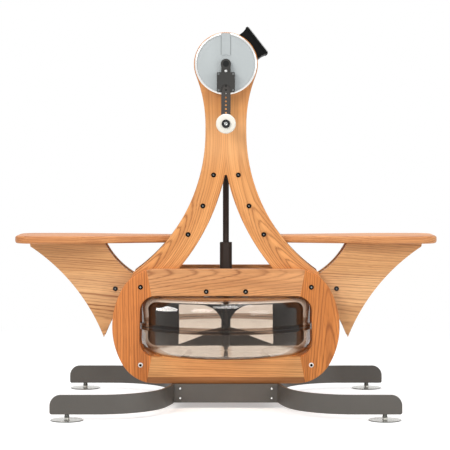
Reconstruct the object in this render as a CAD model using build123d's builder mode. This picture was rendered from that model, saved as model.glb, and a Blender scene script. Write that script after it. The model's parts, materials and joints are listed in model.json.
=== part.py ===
"""Hand-crank water ergometer with two seats, as separate pieces, in millimetres.

Z is up, X runs through both seats, Y runs along the crank shaft.
The origin lies on the floor, below the crank shaft.
"""
from build123d import *
import os
from math import asin, atan2, cos, degrees, pi, radians, sin, sqrt, tan

os.makedirs("parts", exist_ok=True)

# ---- driving dimensions -----------------------------------------------------
touch_gap = 0.2            # between pieces that lie against each other
slide_gap = 0.3            # beside a flat piece that slides
run_gap = 0.05             # radial, round a turning shaft or a stud

# base straps and plates
strap_bottom = 17.0
strap_height = 54.0
strap_thickness = 8.0
strap_end_x = 488.0
strap_reach_y = 352.0
strap_waist_x = 146.0
strap_waist_radius = 780.0
strap_bend_radius = 192.0
strap_top_corner = 30.0
strap_low_corner = 6.0
plate_thickness = 6.0
plate_bolt_inset = 22.0
plate_bolt_spread = 28.0
plate_bolt_radius = 3.0
plate_head_radius = 4.6
plate_head_height = 2.2
plate_nut_radius = 5.6
plate_nut_height = 4.0
corner_leg = 34.0
corner_thickness = 5.0

# levelling feet
foot_x = 440.0
foot_pad_radius = 46.0
foot_pad_height = 5.0
foot_stud_radius = 3.0
foot_stud_depth = 26.0
foot_ball_radius = 7.0
foot_travel = 8.0

# oval side rings
ring_inner_y = 85.0
ring_thickness = 28.0
ring_half_width = 329.0
ring_height = 332.0
ring_side_radius = 220.0
ring_corner_radius = 115.0
ring_edge_round = 3.0
ring_foot_bevel = 20.0
ring_foot_bevel_depth = 11.0
window_half_width = 249.0
window_low = 149.0
window_high = 325.0
window_corner = 46.0
rail_joint_inner_x = 215.0
rail_joint_outer_x = 230.0
ring_bolt_x = 247.0
ring_bolt_high = 351.0
ring_bolt_low = 126.0
rail_bolt_x = 57.0
rail_bolt_z = 338.0
spacer_radius = 10.0
bridge_width = 60.0

# uprights
upright_thickness = 30.0
head_z = 997.0
head_radius = 93.0
neck_half_width = 59.5
neck_low = 800.0
neck_high = 820.0
leg_outer_radius = 502.0
leg_outer_end_z = 392.0
crotch_z = 675.0
crotch_half_gap = 3.0
leg_inner_mid = (46.5, 544.0)
leg_inner_low = (150.0, 387.0)
leg_foot_radius = 37.0
upright_edge_round = 2.5
leg_bolt_places = ((36.0, 675.0), (67.0, 585.0), (110.0, 502.0))
bolt_radius = 4.0
washer_radius = 7.0
washer_height = 1.6
bolt_head_radius = 5.0
bolt_head_height = 2.6

# seats and their guides
seat_top = 498.0
seat_thickness = 22.0
seat_outer_x = 615.0
seat_inner_x = 115.0
seat_outer_half = 110.0
seat_inner_half = 45.5
seat_full_width_x = 440.0
seat_corner = 52.0
seat_square_length = 70.0
seat_blend_radius = 150.0
seat_edge_round = 7.0
seat_rise = 168.0
seat_shift = 92.0
fin_inner_y = 28.0
fin_thickness = 18.0
fin_outer_x = 574.0
fin_lip = 11.0
fin_outer_mid = (462.0, 370.0)
fin_tip = (357.0, 200.0)
fin_inner_mid = (318.0, 279.0)
fin_shoulder = (246.0, 372.0)
fin_arc_mid = (311.0, 416.0)
fin_top_x = 355.0
fin_corner = 9.0
fin_rod_place = (323.7, 341.7)
fin_rod_radius = 8.0
shoe_thickness = 3.0
shoe_top_length = 44.0
shoe_bottom_length = 62.0
cheek_reach = 13.0
guide_thickness = 5.0
guide_width = 44.0
guide_stud_radius = 5.0
guide_stud_place = (138.5, 487.0)
guide_stud_spacing = 45.0

# water tank
tank_low = 151.0
tank_high = 322.0
tank_radius = 254.0
tank_wall = 4.0
tank_corner_high = 42.0
tank_corner_low = 46.0
flange_z = 236.0
flange_radius = 260.5
flange_thickness = 8.0
gasket_thickness = 1.6
cradle_half_length = 262.0
seal_radius = 32.0
fill_plug_y = 57.0
fill_plug_radius = 20.0

# shafts, gears and paddle
drive_radius = 9.0
sleeve_radius = 18.0
sleeve_high = 476.0
sleeve_low = 358.0
pivot_radius = 6.0
paddle_tip = 228.0
paddle_blade_inner = 138.0
paddle_low = 170.0
paddle_high = 302.0
paddle_thickness = 3.0
paddle_arm = 5.0
paddle_eye_flat_x = 72.0
paddle_eye_high_bow = 0.80
paddle_eye_low_bow = 0.62
paddle_waist_height = 22.0
paddle_waist_web = 2.0
paddle_tip_corner = 26.0
paddle_hub_radius = 11.5
crank_shaft_radius = 10.0
bearing_radius = 23.5
bearing_width = 14.0
gear_module = 2.75
crown_teeth = 40
pinion_teeth = 16
gear_face = 14.0
gear_backlash = 1.3
gear_pressure_angle = 20.0
block_width = 80.0
block_height = 22.0

# head and console
drum_radius = 86.0
drum_wall = 4.0
cap_height = 18.0
cap_radius = 90.0
rim_width = 6.0
disc_recess = 2.5
disc_hole_gap = 5.0
strip_width = 27.0
console_angle = 38.0
console_face = 117.7
console_length = 98.0
console_half_width = 68.0
bezel_thickness = 6.0
bezel_corner = 8.0
screen_length = 102.0
screen_height = 61.0
screen_recess = 1.5
console_shell_length = 88.0
bracket_half_width = 18.0

# cranks
arm_inner_y = 108.0
arm_thickness = 12.0
bar_width = 27.0
bar_thickness = 6.0
clamp_width = 52.0
clamp_high = 972.0
clamp_low = 915.0
cover_thickness = 4.0
notch_height = 22.0
crank_radius = 175.0
bar_hole_radius = 2.7
bar_hole_pitch = 11.0
bar_hole_count = 13
grip_length = 128.0
grip_radius = 15.5
grip_flange_radius = 28.0
grip_flange_thickness = 9.0
grip_bore = 7.0
grip_collar_radius = 21.5
grip_collar_width = 5.0

# ---- worked out from the above ----------------------------------------------
strap_top = strap_bottom + strap_height
ring_outer_y = ring_inner_y + ring_thickness
ring_low = strap_top + touch_gap
ring_high = ring_low + ring_height
ring_mid = (ring_low + ring_high) / 2
upright_inner_y = ring_inner_y - upright_thickness
guide_inner_y = upright_inner_y - guide_thickness
seat_bottom = seat_top - seat_thickness
travel = sqrt(seat_rise ** 2 + seat_shift ** 2)
SIDES = {"left": -1, "right": 1}
ENDS = {"front": -1, "rear": 1}


def finish(block, name):
    """Label a finished piece and write its file."""
    block.part.label = name
    export_step(block.part, f"parts/{name}.step")


def side_plane(y):
    """Upright plane at one y, seen from the front: local x is X, local y is Z."""
    return Plane(origin=(0, y, 0), x_dir=(1, 0, 0), z_dir=(0, -1, 0))


# ---- base -------------------------------------------------------------------
waist_angle = asin((strap_reach_y - strap_bend_radius) / (strap_waist_radius - strap_bend_radius))
waist_end_x = strap_waist_x + strap_waist_radius * (1 - cos(waist_angle))
waist_end_y = strap_waist_radius * sin(waist_angle)
bend_end_x = waist_end_x + strap_bend_radius * cos(waist_angle)
bend_mid_turn = (waist_angle + pi / 2) / 2
bend_mid_x = bend_end_x - strap_bend_radius * cos(bend_mid_turn)
bend_mid_y = strap_reach_y - strap_bend_radius * (1 - sin(bend_mid_turn))


def strap_line(side):
    """Plan line of one strap: straight, bend, long waist curve, bend, straight."""
    with BuildLine() as line:
        ThreePointArc(
            (side * waist_end_x, -waist_end_y),
            (side * strap_waist_x, 0),
            (side * waist_end_x, waist_end_y),
        )
        for end in (-1, 1):
            ThreePointArc(
                (side * waist_end_x, end * waist_end_y),
                (side * bend_mid_x, end * bend_mid_y),
                (side * bend_end_x, end * strap_reach_y),
            )
            Line(
                (side * bend_end_x, end * strap_reach_y),
                (side * strap_end_x, end * strap_reach_y),
            )
    return line.line


for side_name, side in SIDES.items():
    with BuildPart() as base_strap:
        with BuildSketch(Plane.XY.offset(strap_bottom)):
            trace(strap_line(side), line_width=strap_thickness)
        extrude(amount=strap_height)
        end_edges = base_strap.edges().filter_by(Axis.Y).filter_by_position(
            Axis.X, side * strap_end_x - 1, side * strap_end_x + 1
        )
        fillet(end_edges.group_by(Axis.Z)[-1], radius=strap_top_corner)
        fillet(end_edges.group_by(Axis.Z)[0], radius=strap_low_corner)
        with BuildSketch(Plane.XY.offset(strap_bottom)):
            with Locations((side * foot_x, strap_reach_y), (side * foot_x, -strap_reach_y)):
                Circle(foot_stud_radius + run_gap)
        extrude(amount=foot_stud_depth + touch_gap, mode=Mode.SUBTRACT)
    finish(base_strap, f"base_strap_{side_name}")

plate_half_length = strap_waist_x + 12.0
plate_bolt_x = strap_waist_x + 8.0 - plate_bolt_inset
plate_mid_z = strap_bottom + strap_height / 2

with BuildPart() as base_plates:
    with BuildSketch(Plane.XY.offset(strap_bottom)):
        for end in ENDS.values():
            with Locations((0, end * (ring_inner_y + ring_thickness - 2 - plate_thickness / 2))):
                Rectangle(2 * plate_half_length, plate_thickness)
        for side in SIDES.values():
            trace(
                strap_line(side),
                line_width=strap_thickness + 2 * touch_gap,
                mode=Mode.SUBTRACT,
            )
            with Locations((side * (plate_half_length + 1), 0)):
                Rectangle(10, 2 * ring_outer_y, mode=Mode.SUBTRACT)
    extrude(amount=strap_height)
    with BuildSketch(side_plane(ring_outer_y + 1)):
        with Locations((0, plate_mid_z)):
            with GridLocations(2 * plate_bolt_x, plate_bolt_spread, 2, 2):
                Circle(plate_bolt_radius + run_gap)
    extrude(amount=2 * ring_outer_y + 2, mode=Mode.SUBTRACT)
finish(base_plates, "base_plates")

lug_y = ring_outer_y - 2 - plate_thickness - touch_gap
lug_low_x = plate_bolt_x - corner_leg / 2
lug_high_x = strap_waist_x + corner_thickness
with BuildPart() as base_corners:
    with BuildSketch(Plane.XY.offset(strap_bottom + 2)):
        trace(strap_line(1), line_width=strap_thickness + 2 * corner_thickness)
        with Locations(((lug_low_x + strap_waist_x) / 2, lug_y - corner_thickness / 2)):
            Rectangle(strap_waist_x - lug_low_x, corner_thickness)
        trace(strap_line(1), line_width=strap_thickness + 2 * touch_gap, mode=Mode.SUBTRACT)
        with Locations(((lug_low_x + lug_high_x) / 2, lug_y - corner_leg / 2)):
            Rectangle(lug_high_x - lug_low_x, corner_leg, mode=Mode.INTERSECT)
    extrude(amount=strap_height - 4)
    with BuildSketch(side_plane(lug_y + 1)):
        with Locations((plate_bolt_x, plate_mid_z)):
            with GridLocations(0, plate_bolt_spread, 1, 2):
                Circle(plate_bolt_radius + run_gap)
    extrude(amount=corner_thickness + 2, mode=Mode.SUBTRACT)
    mirror(about=Plane.YZ)
    mirror(about=Plane.XZ)
finish(base_corners, "base_corners")

bolt_span = plate_thickness + touch_gap + corner_thickness
with BuildPart() as base_bolts:
    with BuildSketch(side_plane(lug_y - corner_thickness - plate_nut_height)):
        with Locations((plate_bolt_x, plate_mid_z)):
            with GridLocations(0, plate_bolt_spread, 1, 2):
                Circle(plate_bolt_radius)
    extrude(amount=-(bolt_span + plate_nut_height))
    with BuildSketch(side_plane(lug_y + touch_gap + plate_thickness)):
        with Locations((plate_bolt_x, plate_mid_z)):
            with GridLocations(0, plate_bolt_spread, 1, 2):
                Circle(plate_head_radius)
    extrude(amount=-plate_head_height)
    with BuildSketch(side_plane(lug_y - corner_thickness)):
        with Locations((plate_bolt_x, plate_mid_z)):
            with GridLocations(0, plate_bolt_spread, 1, 2):
                RegularPolygon(plate_nut_radius, 6)
    extrude(amount=plate_nut_height)
    mirror(about=Plane.YZ)
    mirror(about=Plane.XZ)
finish(base_bolts, "base_bolts")

# ---- levelling feet ---------------------------------------------------------
for end_name, end in ENDS.items():
    for side_name, side in SIDES.items():
        foot_place = (side * foot_x, end * strap_reach_y, 0)
        stud_high = strap_bottom + foot_stud_depth
        with BuildPart() as foot:
            with BuildSketch(Plane(origin=foot_place, x_dir=(1, 0, 0), z_dir=(0, -1, 0))):
                with BuildLine():
                    Polyline(
                        (0, 0),
                        (foot_pad_radius - 3, 0),
                        (foot_pad_radius, 1.5),
                        (foot_pad_radius - 1, 3),
                        (foot_ball_radius + 6, foot_pad_height),
                        (foot_ball_radius, foot_pad_height + 1),
                        (foot_ball_radius, strap_bottom - 4.5),
                        (foot_ball_radius - 1, strap_bottom - touch_gap),
                        (foot_stud_radius, strap_bottom - touch_gap),
                        (foot_stud_radius, stud_high - touch_gap),
                        (0, stud_high - touch_gap),
                        close=True,
                    )
                make_face()
            revolve(axis=Axis(foot_place, (0, 0, 1)))
        finish(foot, f"foot_{end_name}_{side_name}")

# ---- oval rings -------------------------------------------------------------
side_centre_x = ring_half_width - ring_side_radius
corner_centre_z = ring_high - ring_corner_radius
corner_rise = corner_centre_z - ring_mid
radius_step = ring_side_radius - ring_corner_radius
corner_centre_x = side_centre_x + sqrt(radius_step ** 2 - corner_rise ** 2)
side_turn = atan2(corner_rise, corner_centre_x - side_centre_x)
side_end_x = side_centre_x + ring_side_radius * cos(side_turn)
side_end_rise = ring_side_radius * sin(side_turn)
corner_turn = (side_turn + pi / 2) / 2
corner_mid_x = corner_centre_x + ring_corner_radius * cos(corner_turn)
corner_mid_rise = corner_rise + ring_corner_radius * sin(corner_turn)
ring_half_height = ring_height / 2


def ring_outline():
    """Outline of one side ring: flat top and bottom, tight corners, full sides."""
    with BuildLine() as line:
        for rise in (-1, 1):
            flat_z = ring_mid + rise * ring_half_height
            Line((-corner_centre_x, flat_z), (corner_centre_x, flat_z))
            for side in (-1, 1):
                ThreePointArc(
                    (side * corner_centre_x, flat_z),
                    (side * corner_mid_x, ring_mid + rise * corner_mid_rise),
                    (side * side_end_x, ring_mid + rise * side_end_rise),
                )
        for side in (-1, 1):
            ThreePointArc(
                (side * side_end_x, ring_mid - side_end_rise),
                (side * ring_half_width, ring_mid),
                (side * side_end_x, ring_mid + side_end_rise),
            )
    return line.line


with BuildPart() as ring_blank:
    with BuildSketch(side_plane(0)):
        with BuildLine():
            add(ring_outline())
        make_face()
    extrude(amount=ring_thickness)
    outer_edges = ring_blank.faces().sort_by(Axis.Y)[0].edges()
    fillet(outer_edges, radius=ring_edge_round)
    with BuildSketch(side_plane(0)):
        with Locations((0, (window_low + window_high) / 2)):
            RectangleRounded(2 * window_half_width, window_high - window_low, window_corner)
    extrude(amount=ring_thickness, mode=Mode.SUBTRACT)
    window_edges = (
        ring_blank.faces()
        .sort_by(Axis.Y)[0]
        .edges()
        .filter_by_position(Axis.X, -window_half_width - 1, window_half_width + 1)
        .filter_by_position(Axis.Z, window_low - 1, window_high + 1)
    )
    fillet(window_edges, radius=ring_edge_round - 1)
    with BuildSketch(side_plane(0)):
        with Locations((0, (ring_bolt_high + ring_bolt_low) / 2)):
            with GridLocations(2 * ring_bolt_x, ring_bolt_high - ring_bolt_low, 2, 2):
                Circle(bolt_radius + run_gap)
        with Locations((0, rail_bolt_z)):
            with GridLocations(2 * rail_bolt_x, 0, 2, 1):
                Circle(bolt_radius + run_gap)
    extrude(amount=ring_thickness, mode=Mode.SUBTRACT)


def rail_region(low, high, low_x, high_x):
    """Trapezoid that holds one rail of the ring."""
    with BuildSketch(side_plane(0)) as region:
        with BuildLine():
            Polyline((-low_x, low), (low_x, low), (high_x, high), (-high_x, high), close=True)
        make_face()
    return region.sketch


window_mid = (window_low + window_high) / 2
joint_lean = (rail_joint_outer_x - rail_joint_inner_x) / (ring_high - window_high)
joint_mid_x = rail_joint_inner_x - joint_lean * (window_high - window_mid)
top_region = rail_region(window_mid, ring_high + 1, joint_mid_x, rail_joint_outer_x)
bottom_region = rail_region(ring_low - 1, window_mid, rail_joint_outer_x, joint_mid_x)

for end_name, end in ENDS.items():
    ring_place = Pos(0, -ring_inner_y, 0) if end < 0 else Pos(0, ring_inner_y, 0) * Rot(0, 0, 180)
    for rail_name, region in (("top_rail", top_region), ("bottom_rail", bottom_region)):
        with BuildPart() as rail_piece:
            add(ring_blank.part)
            extrude(region, amount=ring_thickness, mode=Mode.INTERSECT)
            if rail_name == "bottom_rail":
                with BuildSketch(Plane.YZ):
                    with BuildLine():
                        Polyline(
                            (-ring_thickness, ring_low + ring_foot_bevel),
                            (-ring_thickness, ring_low),
                            (ring_foot_bevel_depth - ring_thickness, ring_low),
                            close=True,
                        )
                    make_face()
                extrude(amount=ring_half_width, both=True, mode=Mode.SUBTRACT)
        rail_piece.part = ring_place * rail_piece.part
        finish(rail_piece, f"ring_{end_name}_{rail_name}")
    for side_name, side in SIDES.items():
        with BuildPart() as end_piece:
            add(ring_blank.part)
            extrude(top_region, amount=ring_thickness, mode=Mode.SUBTRACT)
            extrude(bottom_region, amount=ring_thickness, mode=Mode.SUBTRACT)
            split(bisect_by=Plane.YZ, keep=Keep.TOP if side * end < 0 else Keep.BOTTOM)
        end_piece.part = ring_place * end_piece.part
        finish(end_piece, f"ring_{end_name}_{side_name}_end")

# ---- uprights ---------------------------------------------------------------
head_over_neck = head_z - neck_high
neck_upper_radius = (head_over_neck ** 2 + neck_half_width ** 2 - head_radius ** 2) / (
    2 * (head_radius - neck_half_width)
)
neck_centre_x = neck_half_width + neck_upper_radius
shoulder_x = head_radius * neck_centre_x / (head_radius + neck_upper_radius)
shoulder_z = head_z - head_radius * head_over_neck / (head_radius + neck_upper_radius)
shoulder_mid_z = (shoulder_z + neck_high) / 2
shoulder_mid_x = neck_centre_x - sqrt(neck_upper_radius ** 2 - (shoulder_mid_z - neck_high) ** 2)
leg_centre_x = neck_half_width + leg_outer_radius
leg_end_x = leg_centre_x - sqrt(leg_outer_radius ** 2 - (neck_low - leg_outer_end_z) ** 2)
leg_mid_z = (neck_low + leg_outer_end_z) / 2
leg_mid_x = leg_centre_x - sqrt(leg_outer_radius ** 2 - (neck_low - leg_mid_z) ** 2)
foot_reach = 0.97 * leg_foot_radius
foot_drop = 0.25 * leg_foot_radius

with BuildPart() as upright_blank:
    with BuildSketch(side_plane(0)):
        with BuildLine():
            Line((0, shoulder_z), (shoulder_x, shoulder_z))
            ThreePointArc(
                (shoulder_x, shoulder_z),
                (shoulder_mid_x, shoulder_mid_z),
                (neck_half_width, neck_high),
            )
            Line((neck_half_width, neck_high), (neck_half_width, neck_low))
            ThreePointArc(
                (neck_half_width, neck_low),
                (leg_mid_x, leg_mid_z),
                (leg_end_x, leg_outer_end_z),
            )
            Polyline(
                (leg_end_x, leg_outer_end_z),
                (ring_bolt_x + foot_reach, ring_bolt_high + foot_drop),
                (ring_bolt_x + foot_drop, ring_bolt_high - foot_reach),
                leg_inner_low,
            )
            ThreePointArc(leg_inner_low, leg_inner_mid, (crotch_half_gap, crotch_z))
            Polyline((crotch_half_gap, crotch_z), (0, crotch_z), (0, shoulder_z))
        make_face()
        with Locations((ring_bolt_x, ring_bolt_high)):
            Circle(leg_foot_radius)
        mirror(about=Plane.YZ)
        with Locations((0, head_z)):
            Circle(head_radius)
    extrude(amount=upright_thickness)
    face_edges = upright_blank.faces().sort_by(Axis.Y)[0].edges()
    long_edges = face_edges.filter_by(lambda edge: edge.length > 3 * leg_foot_radius)
    rounded_edges = long_edges.filter_by_position(Axis.Z, leg_outer_end_z, 2 * head_z)
    fillet(rounded_edges, radius=upright_edge_round)
    with BuildSketch(side_plane(0)):
        with Locations((0, head_z)):
            Circle(bearing_radius)
        for x, z in leg_bolt_places:
            with Locations((x, z), (-x, z)):
                Circle(bolt_radius + run_gap)
        with Locations((0, ring_bolt_high)):
            with GridLocations(2 * ring_bolt_x, 0, 2, 1):
                Circle(bolt_radius + run_gap)
    extrude(amount=upright_thickness, mode=Mode.SUBTRACT)

for end_name, end in ENDS.items():
    upright_turn = Rot(0, 0, 180) if end > 0 else Rot(0, 0, 0)
    with BuildPart() as upright:
        add(Pos(0, end * upright_inner_y, 0) * upright_turn * upright_blank.part)
    finish(upright, f"upright_{end_name}")

# ---- seat guides on the inner faces of the uprights --------------------------
slide_x = seat_shift / travel
slide_z = seat_rise / travel
stud_high_place = guide_stud_place
stud_low_place = (
    guide_stud_place[0] + guide_stud_spacing * slide_x,
    guide_stud_place[1] - guide_stud_spacing * slide_z,
)
slot_high_place = (guide_stud_place[0] - seat_shift, guide_stud_place[1] + seat_rise)
guide_high_z = crotch_z + 18
guide_end_reach = 14.0
guide_high_x = slot_high_place[0] - (guide_high_z - slot_high_place[1]) * seat_shift / seat_rise
guide_low_x = stud_low_place[0] + guide_end_reach * slide_x
guide_low_z = stud_low_place[1] - guide_end_reach * slide_z
guide_shift = 6.0

with BuildPart() as seat_guides:
    with BuildSketch(side_plane(-guide_inner_y)):
        with BuildLine() as guide_line:
            Line(
                (guide_low_x - guide_shift, guide_low_z),
                (guide_high_x - guide_shift, guide_high_z),
            )
        trace(guide_line.line, line_width=guide_width)
        mirror(about=Plane.YZ)
        with BuildLine() as slot_line:
            Line(stud_low_place, slot_high_place)
        with BuildLine() as slot_mirror:
            Line((-stud_low_place[0], stud_low_place[1]), (-slot_high_place[0], slot_high_place[1]))
        for line in (slot_line.line, slot_mirror.line):
            trace(line, line_width=2 * (guide_stud_radius + slide_gap), mode=Mode.SUBTRACT)
        for x, z in (stud_low_place, slot_high_place):
            with Locations((x, z), (-x, z)):
                Circle(guide_stud_radius + slide_gap, mode=Mode.SUBTRACT)
        for x, z in leg_bolt_places:
            with Locations((x, z), (-x, z)):
                Circle(bolt_radius + run_gap, mode=Mode.SUBTRACT)
    extrude(amount=guide_thickness - touch_gap)
    mirror(about=Plane.XZ)
finish(seat_guides, "seat_guides")

# ---- fasteners of the frame --------------------------------------------------
def through_bolt(x, z, half_length):
    """Rod across both sides with a washer and a domed head at each end."""
    with BuildPart() as rod:
        with BuildSketch(Plane(origin=(x, 0, z), x_dir=(1, 0, 0), z_dir=(0, 0, 1))):
            with BuildLine():
                head_y = half_length + washer_height
                Polyline(
                    (0, 0),
                    (bolt_radius, 0),
                    (bolt_radius, half_length + touch_gap / 2),
                    (washer_radius, half_length + touch_gap / 2),
                    (washer_radius, head_y),
                    (bolt_head_radius, head_y),
                    (bolt_head_radius - 1, head_y + bolt_head_height),
                    (0, head_y + bolt_head_height),
                    close=True,
                )
            make_face()
            mirror(about=Plane.XZ)
        revolve(axis=Axis((x, 0, z), (0, 1, 0)))
    return rod.part


ring_bolt_places = (
    (ring_bolt_x, ring_bolt_high),
    (ring_bolt_x, ring_bolt_low),
    (rail_bolt_x, rail_bolt_z),
)
ring_bolt_list = [
    through_bolt(side * x, z, ring_outer_y)
    for side in SIDES.values()
    for x, z in ring_bolt_places
]
with BuildPart() as ring_bolts:
    add(ring_bolt_list)
finish(ring_bolts, "ring_bolts")

with BuildPart() as ring_spacers:
    for z, half_length in ((ring_bolt_high, upright_inner_y), (ring_bolt_low, ring_inner_y)):
        with BuildSketch(side_plane(half_length - touch_gap)):
            with Locations((ring_bolt_x, z), (-ring_bolt_x, z)):
                Circle(spacer_radius)
                Circle(bolt_radius + touch_gap, mode=Mode.SUBTRACT)
        extrude(amount=2 * (half_length - touch_gap))
    with BuildSketch(side_plane(ring_inner_y - touch_gap)):
        with Locations((rail_bolt_x, rail_bolt_z), (-rail_bolt_x, rail_bolt_z)):
            Circle(spacer_radius)
            Circle(bolt_radius + touch_gap, mode=Mode.SUBTRACT)
    extrude(amount=2 * (ring_inner_y - touch_gap))
finish(ring_spacers, "ring_spacers")

with BuildPart() as leg_bolts:
    for x, z in leg_bolt_places:
        with BuildSketch(side_plane(-guide_inner_y - touch_gap)):
            with Locations((x, z)):
                Circle(bolt_radius)
        extrude(amount=ring_inner_y - guide_inner_y)
        with BuildSketch(side_plane(-ring_inner_y - touch_gap)):
            with Locations((x, z)):
                Circle(washer_radius)
        extrude(amount=washer_height)
        with BuildSketch(side_plane(-ring_inner_y - washer_height)):
            with Locations((x, z)):
                Circle(bolt_head_radius)
        extrude(amount=bolt_head_height, taper=12)
    mirror(about=Plane.YZ)
    mirror(about=Plane.XZ)
finish(leg_bolts, "leg_bolts")

# ---- water tank ---------------------------------------------------------------
def tank_profile(inset):
    """Half section of the vessel, moved inwards by the wall."""
    low = tank_low + inset
    high = tank_high - inset
    radius = tank_radius - inset
    high_corner = tank_corner_high - inset
    low_corner = tank_corner_low - inset
    diagonal = 1 - sqrt(0.5)
    with BuildLine() as line:
        Line((0, high), (radius - high_corner, high))
        ThreePointArc(
            (radius - high_corner, high),
            (radius - high_corner * diagonal, high - high_corner * diagonal),
            (radius, high - high_corner),
        )
        Line((radius, high - high_corner), (radius, low + low_corner))
        ThreePointArc(
            (radius, low + low_corner),
            (radius - low_corner * diagonal, low + low_corner * diagonal),
            (radius - low_corner, low),
        )
        Line((radius - low_corner, low), (0, low))
        Line((0, low), (0, high))
    return line.line


seam_low = flange_z - gasket_thickness / 2
seam_high = flange_z + gasket_thickness / 2

for shell_name, keep_low in (("tank_lower_shell", True), ("tank_upper_shell", False)):
    with BuildPart() as tank_shell:
        with BuildSketch(Plane.XZ):
            with BuildLine():
                add(tank_profile(0))
            make_face()
            with Locations((tank_radius, flange_z)):
                Rectangle(
                    2 * (flange_radius - tank_radius),
                    2 * flange_thickness + gasket_thickness,
                )
            with BuildLine():
                add(tank_profile(tank_wall))
            make_face(mode=Mode.SUBTRACT)
            with Locations((0, seam_low + tank_radius if keep_low else seam_high - tank_radius)):
                Rectangle(3 * tank_radius, 2 * tank_radius, mode=Mode.SUBTRACT)
        revolve(axis=Axis.Z)
        if keep_low:
            with BuildSketch(Plane.XY.offset(tank_low + tank_wall)):
                Circle(2.4 * pivot_radius)
            extrude(amount=12)
            with BuildSketch(Plane.XY.offset(tank_low + tank_wall + 2)):
                Circle(pivot_radius + run_gap)
            extrude(amount=12, mode=Mode.SUBTRACT)
        else:
            with BuildSketch(Plane.XY.offset(tank_high - tank_wall)):
                Circle(drive_radius + 2)
                with Locations((0, fill_plug_y)):
                    Circle(fill_plug_radius - 5)
            extrude(amount=tank_wall, mode=Mode.SUBTRACT)
    finish(tank_shell, shell_name)

with BuildPart() as tank_gasket:
    with BuildSketch(Plane.XY.offset(seam_low + touch_gap / 4)):
        Circle(flange_radius - 1)
        Circle(tank_radius - tank_wall + 0.5, mode=Mode.SUBTRACT)
    extrude(amount=gasket_thickness - touch_gap / 2)
finish(tank_gasket, "tank_gasket")

with BuildPart() as tank_fill_plug:
    with BuildSketch(Plane.XY.offset(tank_high + touch_gap)):
        with Locations((0, fill_plug_y)):
            Circle(fill_plug_radius)
    extrude(amount=8)
    chamfer(tank_fill_plug.edges().group_by(Axis.Z)[-1], length=2)
    with BuildSketch(Plane.XY.offset(tank_high + touch_gap)):
        with Locations((0, fill_plug_y)):
            Circle(fill_plug_radius - 5 - touch_gap)
    extrude(amount=-tank_wall - 6)
    with BuildSketch(Plane.XY.offset(tank_high + 8 - 3)):
        with Locations((0, fill_plug_y)):
            SlotOverall(1.3 * fill_plug_radius, 6)
    extrude(amount=6, mode=Mode.SUBTRACT)
finish(tank_fill_plug, "tank_fill_plug")

cradle_low = ring_bolt_low + spacer_radius + touch_gap
with BuildPart() as tank_cradle:
    with BuildSketch(Plane.XY.offset(cradle_low)):
        RectangleRounded(2 * cradle_half_length, 2 * (ring_inner_y - slide_gap), 10)
    extrude(amount=tank_low - touch_gap - cradle_low)
finish(tank_cradle, "tank_cradle")

bridge_low = rail_bolt_z + spacer_radius + touch_gap
with BuildPart() as shaft_seal:
    with BuildSketch(Plane.XZ):
        with BuildLine():
            Polyline(
                (drive_radius + run_gap, tank_high + touch_gap),
                (seal_radius, tank_high + touch_gap),
                (seal_radius, tank_high + 6),
                (seal_radius - 10, tank_high + 9),
                (seal_radius - 10, bridge_low - touch_gap),
                (drive_radius + run_gap, bridge_low - touch_gap),
                close=True,
            )
        make_face()
    revolve(axis=Axis.Z)
finish(shaft_seal, "shaft_seal")

with BuildPart() as shaft_bridge:
    with BuildSketch(Plane.XY.offset(bridge_low)):
        RectangleRounded(2 * rail_bolt_x + 2.4 * spacer_radius, bridge_width, spacer_radius)
        Circle(drive_radius + 3, mode=Mode.SUBTRACT)
    extrude(amount=5)
finish(shaft_bridge, "shaft_bridge")

# ---- drive shaft, coupling and paddle -------------------------------------------
cone_distance = gear_module / 2 * sqrt(crown_teeth ** 2 + pinion_teeth ** 2)
crown_pitch_radius = gear_module * crown_teeth / 2
pinion_pitch_radius = gear_module * pinion_teeth / 2
element_y = -pinion_pitch_radius / cone_distance
element_z = -crown_pitch_radius / cone_distance
addendum = 0.72 * gear_module
dedendum = 1.15 * gear_module
inner_scale = (cone_distance - gear_face) / cone_distance
tooth_pitch = pi * gear_module


def cone_point(distance, height):
    """Point beside the line where the two pitch cones touch, as (y, z) from their apex."""
    return (
        element_y * distance + element_z * height,
        element_z * distance - element_y * height,
    )


def tooth_space(depth_side):
    """Tapering gap between two teeth, cut along the touching line of the pitch cones."""
    half_pitch_gap = (tooth_pitch / 2 + gear_backlash / 2) / 2
    lean = tan(radians(gear_pressure_angle))
    tip = -depth_side * (addendum + 0.6)
    root = depth_side * dedendum
    sections = []
    for scale in (1.06, inner_scale * 0.92):
        origin = (0, element_y * cone_distance * scale, head_z + element_z * cone_distance * scale)
        plane = Plane(origin=origin, x_dir=(1, 0, 0), z_dir=(0, element_y, element_z))
        wide = (half_pitch_gap + (addendum + 0.6) * lean) * scale
        narrow = (half_pitch_gap - dedendum * lean) * scale
        with BuildSketch(plane) as section:
            with BuildLine():
                Polyline(
                    (-wide, tip * scale),
                    (wide, tip * scale),
                    (narrow, root * scale),
                    (-narrow, root * scale),
                    close=True,
                )
            make_face()
        sections.append(section.sketch)
    return loft(Sketch() + sections)


def meridian(points, axis):
    """Solid of revolution from (y, z) points given from the gears' apex."""
    with BuildPart() as blank:
        with BuildSketch(Plane.YZ):
            with BuildLine():
                Polyline([(y, head_z + z) for y, z in points], close=True)
            make_face()
        revolve(axis=axis)
    return blank.part


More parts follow.
